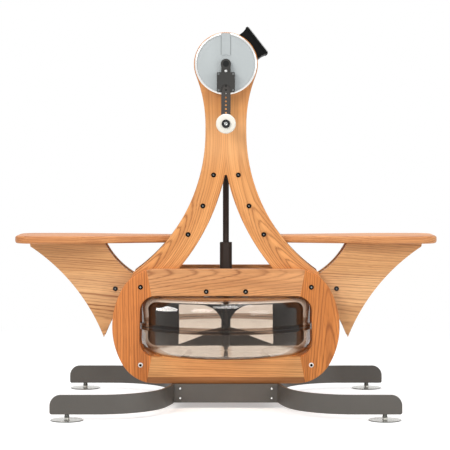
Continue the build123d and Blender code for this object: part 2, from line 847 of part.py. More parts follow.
crank_axis = Axis((0, 0, head_z), (0, 1, 0))
crown_points = [
    cone_point(cone_distance, -addendum),
    cone_point(cone_distance * inner_scale, -addendum * inner_scale),
    (-pinion_pitch_radius - 2, -crown_pitch_radius * inner_scale + 8),
    (-pinion_pitch_radius - 2, -crank_shaft_radius - touch_gap / 2),
    (-pinion_pitch_radius - 18, -crank_shaft_radius - touch_gap / 2),
    (-pinion_pitch_radius - 18, -crank_shaft_radius - 12),
    (-pinion_pitch_radius - 10, -crank_shaft_radius - 16),
    (-pinion_pitch_radius - 10, -crown_pitch_radius + 6),
    cone_point(cone_distance, dedendum + 3),
]
pinion_points = [
    cone_point(cone_distance, addendum),
    cone_point(cone_distance * inner_scale, addendum * inner_scale),
    (-drive_radius - touch_gap / 2, -crown_pitch_radius * inner_scale),
    (-drive_radius - touch_gap / 2, -crown_pitch_radius - 14),
    (-drive_radius - 7, -crown_pitch_radius - 14),
    (-drive_radius - 7, -crown_pitch_radius - 3),
    cone_point(cone_distance, -dedendum - 1),
]

crown_blank = meridian(crown_points, crank_axis)
crown_space = tooth_space(1)
with BuildPart() as crown_gear:
    add(crown_blank)
    for index in range(crown_teeth):
        add(crown_space.rotate(crank_axis, 360 / crown_teeth * index), mode=Mode.SUBTRACT)
finish(crown_gear, "crown_gear")

pinion_blank = meridian(pinion_points, Axis.Z)
pinion_space = tooth_space(-1)
with BuildPart() as drive_pinion:
    add(pinion_blank)
    for index in range(pinion_teeth):
        add(pinion_space.rotate(Axis.Z, 360 / pinion_teeth * (index + 0.5)), mode=Mode.SUBTRACT)
finish(drive_pinion, "drive_pinion")

pinion_low_z = head_z - crown_pitch_radius - 14
shaft_top_z = head_z - crown_pitch_radius * inner_scale - 1
block_high_z = pinion_low_z - touch_gap
block_low_z = block_high_z - block_height

with BuildPart() as drive_shaft:
    with BuildSketch(Plane.XZ):
        with BuildLine():
            Polyline(
                (0, sleeve_low + 60),
                (drive_radius - 1, sleeve_low + 60),
                (drive_radius, sleeve_low + 61),
                (drive_radius, shaft_top_z - 1),
                (drive_radius - 1, shaft_top_z),
                (0, shaft_top_z),
                close=True,
            )
        make_face()
    revolve(axis=Axis.Z)
finish(drive_shaft, "drive_shaft")

with BuildPart() as paddle_shaft:
    with BuildSketch(Plane.XZ):
        with BuildLine():
            Polyline(
                (0, tank_low + tank_wall + 3),
                (pivot_radius, tank_low + tank_wall + 3),
                (pivot_radius, tank_low + tank_wall + 13),
                (drive_radius, tank_low + tank_wall + 13),
                (drive_radius, sleeve_low + 57),
                (0, sleeve_low + 57),
                close=True,
            )
        make_face()
    revolve(axis=Axis.Z)
finish(paddle_shaft, "paddle_shaft")

with BuildPart() as shaft_sleeve:
    with BuildSketch(Plane.XZ):
        with BuildLine():
            Polyline(
                (drive_radius + touch_gap / 4, sleeve_low),
                (sleeve_radius - 1, sleeve_low),
                (sleeve_radius, sleeve_low + 1),
                (sleeve_radius, sleeve_high - 1.5),
                (sleeve_radius - 1.5, sleeve_high),
                (drive_radius + touch_gap / 4, sleeve_high),
                close=True,
            )
        make_face()
    revolve(axis=Axis.Z)
finish(shaft_sleeve, "shaft_sleeve")

paddle_mid = (paddle_low + paddle_high) / 2
paddle_half = (paddle_high - paddle_low) / 2
waist_half = paddle_hub_radius + paddle_waist_web
eye_half = paddle_half - paddle_arm
eye_edges = (
    (1, paddle_eye_flat_x, paddle_eye_high_bow),
    (-1, paddle_blade_inner - 1, paddle_eye_low_bow),
)
with BuildPart() as paddle:
    with BuildSketch(side_plane(paddle_thickness / 2)):
        with Locations((0, paddle_mid)):
            Rectangle(2 * paddle_tip, 2 * paddle_half)
        for side in SIDES.values():
            with BuildLine():
                blade_x = side * paddle_blade_inner
                Line((blade_x, paddle_mid - eye_half), (blade_x, paddle_mid + eye_half))
                for rise, flat_x, bow in eye_edges:
                    corner = (side * flat_x, paddle_mid + rise * eye_half)
                    shoulder_x = side * (flat_x + waist_half) / 2
                    Line((blade_x, paddle_mid + rise * eye_half), corner)
                    ThreePointArc(
                        corner,
                        (shoulder_x, paddle_mid + rise * bow * eye_half),
                        (side * waist_half, paddle_mid + rise * paddle_waist_height / 2),
                    )
                Line(
                    (side * waist_half, paddle_mid - paddle_waist_height / 2),
                    (side * waist_half, paddle_mid + paddle_waist_height / 2),
                )
            make_face(mode=Mode.SUBTRACT)
    extrude(amount=paddle_thickness)
    tip_edges = paddle.edges().filter_by(Axis.Y).filter_by(
        lambda edge: abs(edge.center().X) > paddle_tip - 1
    )
    fillet(tip_edges, radius=paddle_tip_corner)
    add(Rot(0, 0, 90) * paddle.part)
    with BuildSketch(Plane.XY.offset(paddle_low)):
        Circle(paddle_hub_radius)
    extrude(amount=2 * paddle_half)
    with BuildSketch(Plane.XY.offset(paddle_low)):
        Circle(drive_radius + touch_gap / 4)
    extrude(amount=2 * paddle_half, mode=Mode.SUBTRACT)
finish(paddle, "paddle")

with BuildPart() as drive_bearing_block:
    with BuildSketch(Plane.XY.offset(block_low_z)):
        RectangleRounded(block_width, 2 * (upright_inner_y - touch_gap), 4)
        Circle(drive_radius + run_gap, mode=Mode.SUBTRACT)
    extrude(amount=block_high_z - block_low_z)
    with BuildSketch(side_plane(upright_inner_y)):
        with Locations((0, head_z)):
            Circle(drum_radius + touch_gap)
    extrude(amount=2 * upright_inner_y, mode=Mode.SUBTRACT)
finish(drive_bearing_block, "drive_bearing_block")

# ---- head -----------------------------------------------------------------------
with BuildPart() as head_drum:
    with BuildSketch(side_plane(upright_inner_y - touch_gap)):
        with Locations((0, head_z)):
            Circle(drum_radius)
            Circle(drum_radius - drum_wall, mode=Mode.SUBTRACT)
    extrude(amount=2 * (upright_inner_y - touch_gap))
    with BuildSketch(Plane.XY.offset(head_z - drum_radius - 2)):
        Circle(drive_radius + 8)
    extrude(amount=drum_wall + 12, mode=Mode.SUBTRACT)
finish(head_drum, "head_drum")

cap_inner_radius = cap_radius - rim_width
with BuildPart() as head_rims:
    with BuildSketch(Plane.YZ):
        with BuildLine():
            Polyline(
                (-ring_inner_y - touch_gap, head_z + cap_inner_radius + touch_gap),
                (-ring_inner_y - touch_gap, head_z + cap_radius),
                (-ring_inner_y - cap_height, head_z + cap_radius),
                (-ring_inner_y - cap_height, head_z + cap_inner_radius + touch_gap),
                close=True,
            )
        make_face()
    revolve(axis=crank_axis)
    front_edges = head_rims.faces().sort_by(Axis.Y)[0].edges()
    fillet(front_edges.sort_by(SortBy.LENGTH)[-1], radius=0.6 * rim_width)
    with BuildSketch(side_plane(-ring_inner_y)):
        with Locations((0, head_z + cap_radius - rim_width)):
            Rectangle(strip_width + 2 * touch_gap, 3 * rim_width)
    extrude(amount=cap_height, mode=Mode.SUBTRACT)
    mirror(about=Plane.XZ)
finish(head_rims, "head_rims")

with BuildPart() as head_discs:
    with BuildSketch(side_plane(-ring_inner_y - touch_gap)):
        with Locations((0, head_z)):
            Circle(cap_inner_radius)
            Circle(crank_shaft_radius + disc_hole_gap, mode=Mode.SUBTRACT)
    extrude(amount=cap_height - disc_recess)
    with BuildSketch(side_plane(-ring_inner_y - touch_gap)):
        with Locations((0, head_z)):
            Circle(cap_radius - touch_gap)
            Circle(strip_width, mode=Mode.SUBTRACT)
        with Locations((0, head_z + cap_radius)):
            Rectangle(strip_width, 2 * cap_radius, mode=Mode.INTERSECT)
    extrude(amount=cap_height)
    mirror(about=Plane.XZ)
finish(head_discs, "head_discs")

bearing_mid_y = (upright_inner_y + ring_inner_y) / 2
with BuildPart() as crank_bearings:
    with BuildSketch(side_plane(-bearing_mid_y + bearing_width / 2)):
        with Locations((0, head_z)):
            Circle(bearing_radius - touch_gap / 4)
            Circle(crank_shaft_radius + run_gap, mode=Mode.SUBTRACT)
    extrude(amount=bearing_width)
    chamfer(crank_bearings.edges().group_by(SortBy.LENGTH)[-1], length=1)
    mirror(about=Plane.XZ)
finish(crank_bearings, "crank_bearings")

# ---- cranks -----------------------------------------------------------------------
arm_outer_y = arm_inner_y + arm_thickness
bar_inner_y = arm_outer_y + slide_gap
bar_outer_y = bar_inner_y + bar_thickness
cover_inner_y = bar_outer_y + slide_gap
handle_z = head_z - crank_radius

with BuildPart() as crank_shaft:
    with BuildSketch(side_plane(arm_inner_y + 8)):
        with Locations((0, head_z)):
            Circle(crank_shaft_radius)
    extrude(amount=2 * (arm_inner_y + 8))
finish(crank_shaft, "crank_shaft")

with BuildPart() as arm_blank:
    with BuildSketch(side_plane(-arm_inner_y)):
        with Locations((0, head_z)):
            Circle(bar_width / 2)
        with Locations((0, (head_z + clamp_low) / 2)):
            Rectangle(bar_width, head_z - clamp_low)
        with Locations((0, (clamp_high + clamp_low) / 2)):
            RectangleRounded(clamp_width, clamp_high - clamp_low, 3)
    extrude(amount=arm_thickness)
    with BuildSketch(side_plane(-ring_inner_y - cap_height - 1)):
        with Locations((0, head_z)):
            Circle(bar_width / 2 - 1)
    extrude(amount=arm_inner_y - ring_inner_y - cap_height - 1)
    with BuildSketch(side_plane(-arm_outer_y)):
        with Locations((0, (clamp_high + clamp_low) / 2)):
            RectangleRounded(clamp_width, clamp_high - clamp_low, 3)
            Rectangle(bar_width + 2 * slide_gap, clamp_high - clamp_low, mode=Mode.SUBTRACT)
    extrude(amount=bar_thickness + 2 * slide_gap)
    with BuildSketch(side_plane(-ring_inner_y)):
        with Locations((0, head_z)):
            Circle(crank_shaft_radius + touch_gap / 4)
    extrude(amount=arm_inner_y + 8 + touch_gap - ring_inner_y, mode=Mode.SUBTRACT)

with BuildPart() as cover_blank:
    with BuildSketch(side_plane(-cover_inner_y - touch_gap / 2)):
        with Locations((0, (clamp_high + clamp_low) / 2)):
            RectangleRounded(clamp_width, clamp_high - clamp_low, 3)
        with Locations((0, clamp_low + notch_height - bar_width / 2)):
            Circle(bar_width / 2, mode=Mode.SUBTRACT)
        with Locations((0, clamp_low + (notch_height - bar_width / 2) / 2)):
            Rectangle(bar_width, notch_height - bar_width / 2, mode=Mode.SUBTRACT)
    extrude(amount=cover_thickness)

with BuildPart() as bar_blank:
    with BuildSketch(side_plane(-bar_inner_y)):
        with Locations((0, handle_z)):
            Circle(bar_width / 2)
        with Locations((0, (handle_z + clamp_high) / 2)):
            Rectangle(bar_width, clamp_high - handle_z)
        for index in range(bar_hole_count):
            with Locations((0, handle_z + (index + 2) * bar_hole_pitch)):
                Circle(bar_hole_radius, mode=Mode.SUBTRACT)
    extrude(amount=bar_thickness)
    with BuildSketch(side_plane(-bar_outer_y)):
        with Locations((0, handle_z)):
            Circle(grip_bore - run_gap)
    extrude(amount=grip_length + 3)
    with BuildSketch(side_plane(-bar_outer_y - grip_length - 1.5)):
        with Locations((0, handle_z)):
            Circle(grip_bore + 5)
            Circle(grip_bore - 1, mode=Mode.SUBTRACT)
    extrude(amount=3)

with BuildPart() as grip_blank:
    with BuildSketch(Plane.YZ):
        with BuildLine():
            near = -bar_outer_y - 1
            far = -bar_outer_y - grip_length
            neck = far + grip_flange_thickness
            bore_z = handle_z + grip_bore
            collar_z = handle_z + grip_collar_radius
            waist_z = handle_z + grip_radius
            throat_z = waist_z + 3
            knob_z = handle_z + grip_flange_radius
            Polyline((near, bore_z), (near, collar_z), (near - grip_collar_width, collar_z))
            ThreePointArc(
                (near - grip_collar_width, collar_z),
                ((near + neck) / 2, waist_z),
                (neck, throat_z),
            )
            Line((neck, throat_z), (neck, knob_z - 2))
            ThreePointArc(
                (neck, knob_z - 2),
                ((neck + far) / 2, knob_z),
                (far, knob_z - 3),
            )
            Polyline((far, knob_z - 3), (far, bore_z), (near, bore_z))
        make_face()
    revolve(axis=Axis((0, 0, handle_z), (0, 1, 0)))

for end_name, end in ENDS.items():
    for blank, name in (
        (arm_blank, "crank_arm"),
        (bar_blank, "crank_bar"),
        (grip_blank, "grip"),
    ):
        with BuildPart() as crank_piece:
            add(blank.part if end < 0 else Rot(0, 0, 180) * blank.part)
        finish(crank_piece, f"{name}_{end_name}")

with BuildPart() as clamp_covers:
    add(cover_blank.part)
    mirror(about=Plane.XZ)
finish(clamp_covers, "clamp_covers")

with BuildPart() as clamp_screws:
    with BuildSketch(side_plane(-cover_inner_y - touch_gap - cover_thickness)):
        with Locations((0, (clamp_high + clamp_low) / 2)):
            with GridLocations(clamp_width - 10, clamp_high - clamp_low - 10, 2, 2):
                Circle(3)
    extrude(amount=2)
    mirror(about=Plane.XZ)
finish(clamp_screws, "clamp_screws")

# ---- console ------------------------------------------------------------------------
console_out = (cos(radians(console_angle)), sin(radians(console_angle)))
console_plane = Plane(
    origin=(0, 0, head_z), x_dir=(console_out[0], 0, console_out[1]), z_dir=(0, -1, 0)
)
shell_face = console_face - bezel_thickness

with BuildPart() as console_body:
    with BuildSketch(console_plane.offset(-console_half_width)):
        with BuildLine():
            Polyline(
                (head_radius * 0.8, -console_shell_length / 2),
                (head_radius + 6, -console_shell_length / 2),
                (shell_face - touch_gap, -console_length / 2 + 2),
                (shell_face - touch_gap, console_length / 2 - 2),
                (head_radius + 6, console_shell_length / 2),
                (head_radius * 0.8, console_shell_length / 2),
                close=True,
            )
        make_face()
        Circle(head_radius + touch_gap, mode=Mode.SUBTRACT)
    extrude(amount=2 * console_half_width)
finish(console_body, "console_body")

with BuildPart() as console_bezel:
    with BuildSketch(console_plane.offset(-console_half_width - 3)):
        with Locations(((shell_face + console_face) / 2, 0)):
            Rectangle(bezel_thickness, console_length)
    extrude(amount=2 * console_half_width + 6)
    short_edges = console_bezel.edges().filter_by(lambda edge: edge.length < bezel_thickness + 0.1)
    fillet(short_edges, radius=bezel_corner)
    screen_plane = Plane(
        origin=(console_face * console_out[0], 0, head_z + console_face * console_out[1]),
        x_dir=(0, 1, 0),
        z_dir=(console_out[0], 0, console_out[1]),
    )
    with BuildSketch(screen_plane.offset(-screen_recess)):
        RectangleRounded(screen_length, screen_height, bezel_corner / 2)
    extrude(amount=2 * screen_recess, mode=Mode.SUBTRACT)
finish(console_bezel, "console_bezel")

with BuildPart() as console_screen:
    with BuildSketch(screen_plane.offset(-screen_recess + touch_gap / 2)):
        RectangleRounded(
            screen_length - 2 * touch_gap,
            screen_height - 2 * touch_gap,
            bezel_corner / 2,
        )
    extrude(amount=screen_recess - 2 * touch_gap)
finish(console_screen, "console_screen")

with BuildPart() as console_bracket:
    with BuildSketch(console_plane.offset(-bracket_half_width)):
        Circle(head_radius)
        Circle(drum_radius + touch_gap, mode=Mode.SUBTRACT)
        with Locations((head_radius, 0)):
            Rectangle(head_radius, 2.2 * bracket_half_width, mode=Mode.INTERSECT)
    extrude(amount=2 * bracket_half_width)
finish(console_bracket, "console_bracket")

# ---- seats ---------------------------------------------------------------------------
board_length = seat_outer_x - seat_inner_x
for side_name, side in SIDES.items():
    with BuildPart() as seat_board:
        with BuildSketch(Plane.XY.offset(seat_bottom)):
            with BuildLine():
                Polyline(
                    (side * seat_inner_x, -seat_inner_half),
                    (side * (seat_inner_x + seat_square_length), -seat_inner_half),
                    (side * seat_full_width_x, -seat_outer_half),
                    (side * seat_outer_x, -seat_outer_half),
                    (side * seat_outer_x, seat_outer_half),
                    (side * seat_full_width_x, seat_outer_half),
                    (side * (seat_inner_x + seat_square_length), seat_inner_half),
                    (side * seat_inner_x, seat_inner_half),
                    close=True,
                )
            make_face()
        extrude(amount=seat_thickness)
        upright_edges = seat_board.edges().filter_by(Axis.Z).sort_by(Axis.X)
        outer_pair = upright_edges[-2:] if side > 0 else upright_edges[:2]
        fillet(outer_pair, radius=seat_corner)
        wide_pair = seat_board.edges().filter_by(Axis.Z).filter_by_position(
            Axis.X, side * seat_full_width_x - 1, side * seat_full_width_x + 1
        )
        fillet(wide_pair, radius=seat_blend_radius)
        square_x = side * (seat_inner_x + seat_square_length)
        narrow_pair = seat_board.edges().filter_by(Axis.Z).filter_by_position(
            Axis.X, square_x - 1, square_x + 1
        )
        fillet(narrow_pair, radius=seat_blend_radius)
        rim_faces = seat_board.faces().filter_by(Axis.Z)
        rim_edges = rim_faces.edges().filter_by(
            lambda edge: abs(edge.center().X) > seat_inner_x + seat_square_length - 10
        )
        fillet(rim_edges, radius=seat_edge_round)
    finish(seat_board, f"seat_board_{side_name}")

fin_outer_y = fin_inner_y + fin_thickness
stud_reach_y = upright_inner_y - 0.5
for side_name, side in SIDES.items():
    with BuildPart() as seat_fins:
        with BuildSketch(side_plane(-fin_inner_y)) as fin_sketch:
            with BuildLine():
                top = seat_bottom - touch_gap / 2
                Polyline(
                    (fin_top_x, top),
                    (fin_outer_x, top),
                    (fin_outer_x - 2, seat_bottom - fin_lip),
                )
                ThreePointArc((fin_outer_x - 2, seat_bottom - fin_lip), fin_outer_mid, fin_tip)
                ThreePointArc(fin_tip, fin_inner_mid, fin_shoulder)
                ThreePointArc(fin_shoulder, fin_arc_mid, (fin_top_x, top))
            make_face()
            fillet(fin_sketch.vertices().sort_by_distance((*fin_shoulder, 0))[0], radius=fin_corner)
            with Locations(fin_rod_place):
                Circle(bolt_radius + run_gap, mode=Mode.SUBTRACT)
            if side < 0:
                mirror(about=Plane.YZ, mode=Mode.REPLACE)
        extrude(amount=fin_thickness)
        mirror(about=Plane.XZ)
    finish(seat_fins, f"seat_fins_{side_name}")

    with BuildPart() as seat_hardware:
        # steel shoe folded round the inner end of the board
        shoe_half = seat_inner_half + touch_gap + shoe_thickness
        with BuildSketch(side_plane(shoe_half)):
            with BuildLine():
                inner_face = seat_inner_x - touch_gap
                outer_face = inner_face - shoe_thickness
                low_face = seat_bottom - touch_gap
                high_face = seat_top + touch_gap
                Polyline(
                    (outer_face, low_face - shoe_thickness),
                    (seat_inner_x + shoe_bottom_length, low_face - shoe_thickness),
                    (seat_inner_x + shoe_bottom_length, low_face),
                    (inner_face, low_face),
                    (inner_face, high_face),
                    (seat_inner_x + shoe_top_length, high_face),
                    (seat_inner_x + shoe_top_length, high_face + shoe_thickness),
                    (outer_face, high_face + shoe_thickness),
                    close=True,
                )
            make_face()
        extrude(amount=2 * shoe_half)
        for cheek_y in (shoe_half, -shoe_half + shoe_thickness):
            with BuildSketch(side_plane(cheek_y)):
                with BuildLine():
                    Polyline(
                        (outer_face, high_face + shoe_thickness),
                        (seat_inner_x + shoe_top_length, high_face + shoe_thickness),
                        (stud_low_place[0] + cheek_reach, stud_low_place[1]),
                        (stud_low_place[0] + cheek_reach / 2, stud_low_place[1] - cheek_reach),
                        (stud_low_place[0] - cheek_reach, stud_low_place[1] - cheek_reach),
                        (outer_face, low_face - shoe_thickness),
                        close=True,
                    )
                make_face()
            extrude(amount=shoe_thickness)
        for end in ENDS.values():
            with BuildSketch(side_plane(end * (shoe_half - shoe_thickness / 2))):
                with Locations(stud_high_place, stud_low_place):
                    Circle(guide_stud_radius)
            extrude(amount=end * (shoe_half - shoe_thickness / 2 - stud_reach_y))
        # tube between the fins with a bolt right through
        with BuildSketch(side_plane(fin_inner_y - touch_gap / 2)):
            with Locations(fin_rod_place):
                Circle(fin_rod_radius)
        extrude(amount=2 * fin_inner_y - touch_gap)
        with BuildSketch(side_plane(fin_outer_y + touch_gap / 2 + washer_height)):
            with Locations(fin_rod_place):
                Circle(bolt_radius)
        extrude(amount=2 * fin_outer_y + touch_gap + 2 * washer_height)
        for end in ENDS.values():
            face_y = end * (fin_outer_y + touch_gap / 2)
            with BuildSketch(side_plane(face_y)):
                with Locations(fin_rod_place):
                    Circle(washer_radius)
            extrude(amount=-end * washer_height)
            with BuildSketch(side_plane(face_y + end * washer_height)):
                with Locations(fin_rod_place):
                    Circle(bolt_head_radius)
            extrude(amount=-end * bolt_head_height)
        if side < 0:
            mirror(about=Plane.YZ, mode=Mode.REPLACE)
    finish(seat_hardware, f"seat_hardware_{side_name}")
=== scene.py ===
import bpy
import bmesh
import json
import math
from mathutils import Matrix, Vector


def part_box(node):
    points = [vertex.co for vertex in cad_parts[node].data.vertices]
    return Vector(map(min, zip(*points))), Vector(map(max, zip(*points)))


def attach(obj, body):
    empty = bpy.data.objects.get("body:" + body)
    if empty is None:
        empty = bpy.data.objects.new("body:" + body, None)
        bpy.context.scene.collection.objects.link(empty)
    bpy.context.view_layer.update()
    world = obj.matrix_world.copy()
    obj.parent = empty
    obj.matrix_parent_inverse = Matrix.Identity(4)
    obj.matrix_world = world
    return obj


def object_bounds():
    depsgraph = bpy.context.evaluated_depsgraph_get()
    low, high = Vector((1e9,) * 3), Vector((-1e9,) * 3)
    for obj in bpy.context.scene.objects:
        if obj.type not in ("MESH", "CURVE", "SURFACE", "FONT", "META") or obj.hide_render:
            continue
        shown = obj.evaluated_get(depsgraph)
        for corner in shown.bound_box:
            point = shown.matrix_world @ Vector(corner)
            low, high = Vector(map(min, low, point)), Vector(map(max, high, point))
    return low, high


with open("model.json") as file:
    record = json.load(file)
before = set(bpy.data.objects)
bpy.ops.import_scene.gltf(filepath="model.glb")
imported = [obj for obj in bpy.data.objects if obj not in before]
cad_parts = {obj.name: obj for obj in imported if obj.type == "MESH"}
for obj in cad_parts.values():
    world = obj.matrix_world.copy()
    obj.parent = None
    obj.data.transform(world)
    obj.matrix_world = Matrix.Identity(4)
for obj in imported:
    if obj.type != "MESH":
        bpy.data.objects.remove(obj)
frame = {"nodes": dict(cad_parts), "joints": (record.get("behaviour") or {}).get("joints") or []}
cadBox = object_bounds()
nodes = frame["nodes"]
print("frame loaded:", len(nodes), "nodes")


def axisHeight(jointName):
    # height of a turning joint's axis
    for joint in frame["joints"]:
        if joint["name"] == jointName:
            return joint["pos_m"][2]


def islands(node):
    # lowest and highest corner of every separate solid of a node
    mesh = bmesh.new()
    mesh.from_mesh(nodes[node].data)
    bmesh.ops.remove_doubles(mesh, verts=mesh.verts, dist=1e-6)
    left, boxes = set(mesh.verts), []
    while left:
        group, front = set(), [left.pop()]
        while front:
            vert = front.pop()
            group.add(vert)
            for edge in vert.link_edges:
                other = edge.other_vert(vert)
                if other in left:
                    left.remove(other)
                    front.append(other)
        low = Vector(min(v.co[i] for v in group) for i in range(3))
        high = Vector(max(v.co[i] for v in group) for i in range(3))
        boxes.append((low, high))
    mesh.free()
    return sorted(boxes, key=lambda box: tuple(box[0]))


def placeOn(node, x, z, turned):
    # the place at x, z on a node's front face or, when turned, on its rear face
    way = -1.0 if turned else 1.0
    hit, face, normal, index = nodes[node].ray_cast(Vector((x, -way, z)), Vector((0.0, way, 0.0)))
    return (x, face.y, z, turned)


def finBolt(side):
    # box of the bolt through a seat's fins, the lower of the seat hardware's two solids
    return min(islands("seat_hardware_" + side), key=lambda box: box[0].z)


crankZ = axisHeight("crank_spin")
gripZ = axisHeight("front_grip_spin")
shellLow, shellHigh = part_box("tank_lower_shell")


def tone(red, green, blue):
    # an everyday 0-255 colour as the linear colour that a shader takes
    def linear(part):
        part = part / 255
        return part / 12.92 if part <= 0.04045 else ((part + 0.055) / 1.055) ** 2.4
    return (linear(red), linear(green), linear(blue), 1.0)


def grey(level):
    return (level, level, level, 1.0)


def toned(colour, share):
    # the same colour, darker below 1 and lighter above it
    return tuple(min(1.0, part * share) for part in colour[:3]) + (1.0,)


class Amount:
    # a number that varies over a piece: sums with it become math nodes
    def __init__(self, wiring, socket):
        self.wiring = wiring
        self.socket = socket

    def __add__(self, other):
        return self.wiring.math("ADD", self, other)

    def __sub__(self, other):
        return self.wiring.math("SUBTRACT", self, other)

    def __rsub__(self, other):
        return self.wiring.math("SUBTRACT", other, self)

    def __mul__(self, other):
        return self.wiring.math("MULTIPLY", self, other)

    def __truediv__(self, other):
        return self.wiring.math("DIVIDE", self, other)

    def __abs__(self):
        return self.wiring.math("ABSOLUTE", self)


class Wiring:
    # short hands for the nodes of a material or of the room
    def __init__(self, owner):
        owner.use_nodes = True
        self.owner = owner
        self.tree = owner.node_tree
        self.tree.nodes.clear()

    def put(self, made, key, value):
        # a key is an input's name with _ for a space, or i and its number
        socket = made.inputs[int(key[1:]) if key[1:].isdigit() else key.replace("_", " ")]
        if isinstance(value, Amount):
            value = value.socket
        if isinstance(value, bpy.types.NodeSocket):
            self.tree.links.new(value, socket)
        else:
            socket.default_value = value

    def node(self, kind, **inputs):
        made = self.tree.nodes.new(kind)
        for key, value in inputs.items():
            self.put(made, key, value)
        return made

    def spot(self):
        return self.node("ShaderNodeTexCoord").outputs["Object"]

    def axes(self):
        made = self.node("ShaderNodeSeparateXYZ", i0=self.spot())
        return [Amount(self, socket) for socket in made.outputs]

    def join(self, x, y, z):
        return self.node("ShaderNodeCombineXYZ", i0=x, i1=y, i2=z).outputs[0]

    def math(self, operation, a, b=0.0):
        made = self.node("ShaderNodeMath", i0=a, i1=b)
        made.operation = operation
        return Amount(self, made.outputs[0])

    def away(self, a, b):
        # how far a point at a, b lies from the middle
        return self.math("SQRT", a * a + b * b)

    def noise(self, place, scale, detail):
        made = self.node("ShaderNodeTexNoise", Vector=place, Scale=scale, Detail=detail)
        return Amount(self, made.outputs["Fac"])

    def span(self, value, low, high, outLow=0.0, outHigh=1.0):
        made = self.node("ShaderNodeMapRange", i0=value, i1=low, i2=high, i3=outLow, i4=outHigh)
        return Amount(self, made.outputs[0])

    def ramp(self, factor, *stops):
        made = self.node("ShaderNodeValToRGB", Fac=factor)
        bar = made.color_ramp
        while len(bar.elements) < len(stops):
            bar.elements.new(0.5)
        for element, (place, level) in zip(bar.elements, stops):
            element.position = place
            element.color = grey(level)
        return Amount(self, made.outputs["Color"])

    def mix(self, factor, a, b):
        made = self.tree.nodes.new("ShaderNodeMix")
        made.data_type = "RGBA"
        self.put(made, "i0", factor)
        self.put(made, "i6", a)
        self.put(made, "i7", b)
        return made.outputs[2]

    def bump(self, height, strength, distance):
        made = self.node("ShaderNodeBump", Height=height, Strength=strength, Distance=distance)
        return made.outputs["Normal"]

    def mixShader(self, factor, a, b):
        return self.node("ShaderNodeMixShader", i0=factor, i1=a.outputs[0], i2=b.outputs[0])

    def seen(self):
        # 1 for what the camera meets, straight or by way of gloss and clear plastic
        path = self.node("ShaderNodeLightPath").outputs
        throughPiece = self.math("MAXIMUM", path["Is Glossy Ray"], path["Is Transmission Ray"])
        return self.math("MAXIMUM", path["Is Camera Ray"], throughPiece)

    def end(self, shader, kind="ShaderNodeOutputMaterial"):
        self.node(kind, Surface=shader.outputs[0])
        return self.owner

    def skin(self, colour, roughness, metallic, normal, **extra):
        return self.end(self.node("ShaderNodeBsdfPrincipled", Base_Color=colour, Roughness=roughness,
                                  Metallic=metallic, Normal=normal, **extra))

    def clearSkin(self, colour, roughness, tint, **extra):
        # clear plastic or water: shadow rays pass straight through it, in the tint
        body = self.node("ShaderNodeBsdfPrincipled", Base_Color=colour, Roughness=roughness, **extra)
        passed = self.node("ShaderNodeBsdfTransparent", Color=tint)
        path = self.node("ShaderNodeLightPath")
        return self.end(self.mixShader(path.outputs["Is Shadow Ray"], body, passed))


def newLook(name):
    return Wiring(bpy.data.materials.new(name))


# the middle of a noise that a blend uses: the narrower, the harder its edges
wide = (0.3, 0.7)
medium = (0.35, 0.65)
narrow = (0.4, 0.6)


ash = {
    "ringSpacing": 0.0066,       # between two growth rings
    "wander": 0.030,             # how far the rings stray sideways
    "waver": 0.0030,             # smaller waves in a ring
    "ragged": 0.0024,            # how far pores fray a ring's dark line
    "unevenness": 2.2,           # how far the count of rings strays from even spacing
    "spacingNoise": 0.45,        # scales of the noises that run along the count of rings
    "yearNoise": 2.7,
    "spellNoise": 0.13,
    "yearDarkness": (0.25, 0.75, 0.45, 1.0),     # from the noise's span to the darkness's
    "spellDarkness": (0.3, 0.7, 0.55, 1.0),
    "lineWidth": 0.40,           # share of a ring that is dark summer wood
    "lineCore": 0.82,            # where in a ring it is darkest
    "lineEdge": 0.12,            # how dark it is at the line's edges
    "poreDepth": 0.35,
    "poresInRing": (0.1, 0.8, 1.0, 0.3),         # pores thin out from a ring's start to its end
    "streaking": 0.45,           # narrow streaks along the grain
    "banding": 0.24,             # broad darker ones
    "paleBands": (0.5, 1.16),    # broad paler ones: amount and tone
    "fibreTint": 0.18,
    "coat": 0.04,
    "coatRoughness": 0.3,
    "gleam": 0.35,
    "roughness": (0.40, 0.52),
    "relief": (0.3, 0.0004),     # strength and depth of the bumps
    "paleBeltTone": tone(250, 204, 154),
    "legBend": (0.502, 0.800),   # radius and upper end of the legs' outer curve
    "bendShare": 0.85,           # how far the grain follows that curve
    "halfShift": (0.013, 0.047),                 # sets the glued halves apart, across and along
    "archTop": 0.60,             # the grain arches below this height
    "archShare": 0.85,           # share of the grain's run that stops at that height
    "calmNeck": (0.60, 0.76, 1.0, 0.5),          # the lines fade to half between these heights
    "bevelEdge": 0.0006,         # half the width over which the painted shade on a bevel sets in
    "bevelShade": 0.55,
}

# how much each pattern changes along the grain for its change across, its scale and its detail
grainNoise = {
    "sway": (0.22, 7.0, 4.0),
    "waver": (0.12, 60.0, 2.0),
    "ragged": (0.06, 420.0, 2.0),
    "patch": (0.22, 4.0, 3.0),
    "streak": (0.03, 210.0, 3.0),
    "band": (0.05, 55.0, 2.0),
    "fibre": (0.02, 1300.0, 2.0),
    "pores": (0.04, 800.0, 1.0),
}

# what part of a pattern's range its blend uses
grainBlend = {
    "patch": medium,
    "streak": (0.35, 0.7),
    "band": (0.42, 0.68),
    "paleBand": (0.45, 0.25),
    "fibre": medium,
    "pores": (0.58, 0.72),
}


def grainPattern(look, grain, kind, seed=0.0):
    across, depth, run = grain
    squeeze, scale, detail = grainNoise[kind]
    return look.noise(look.join(across + seed, depth, run * squeeze), scale, detail)


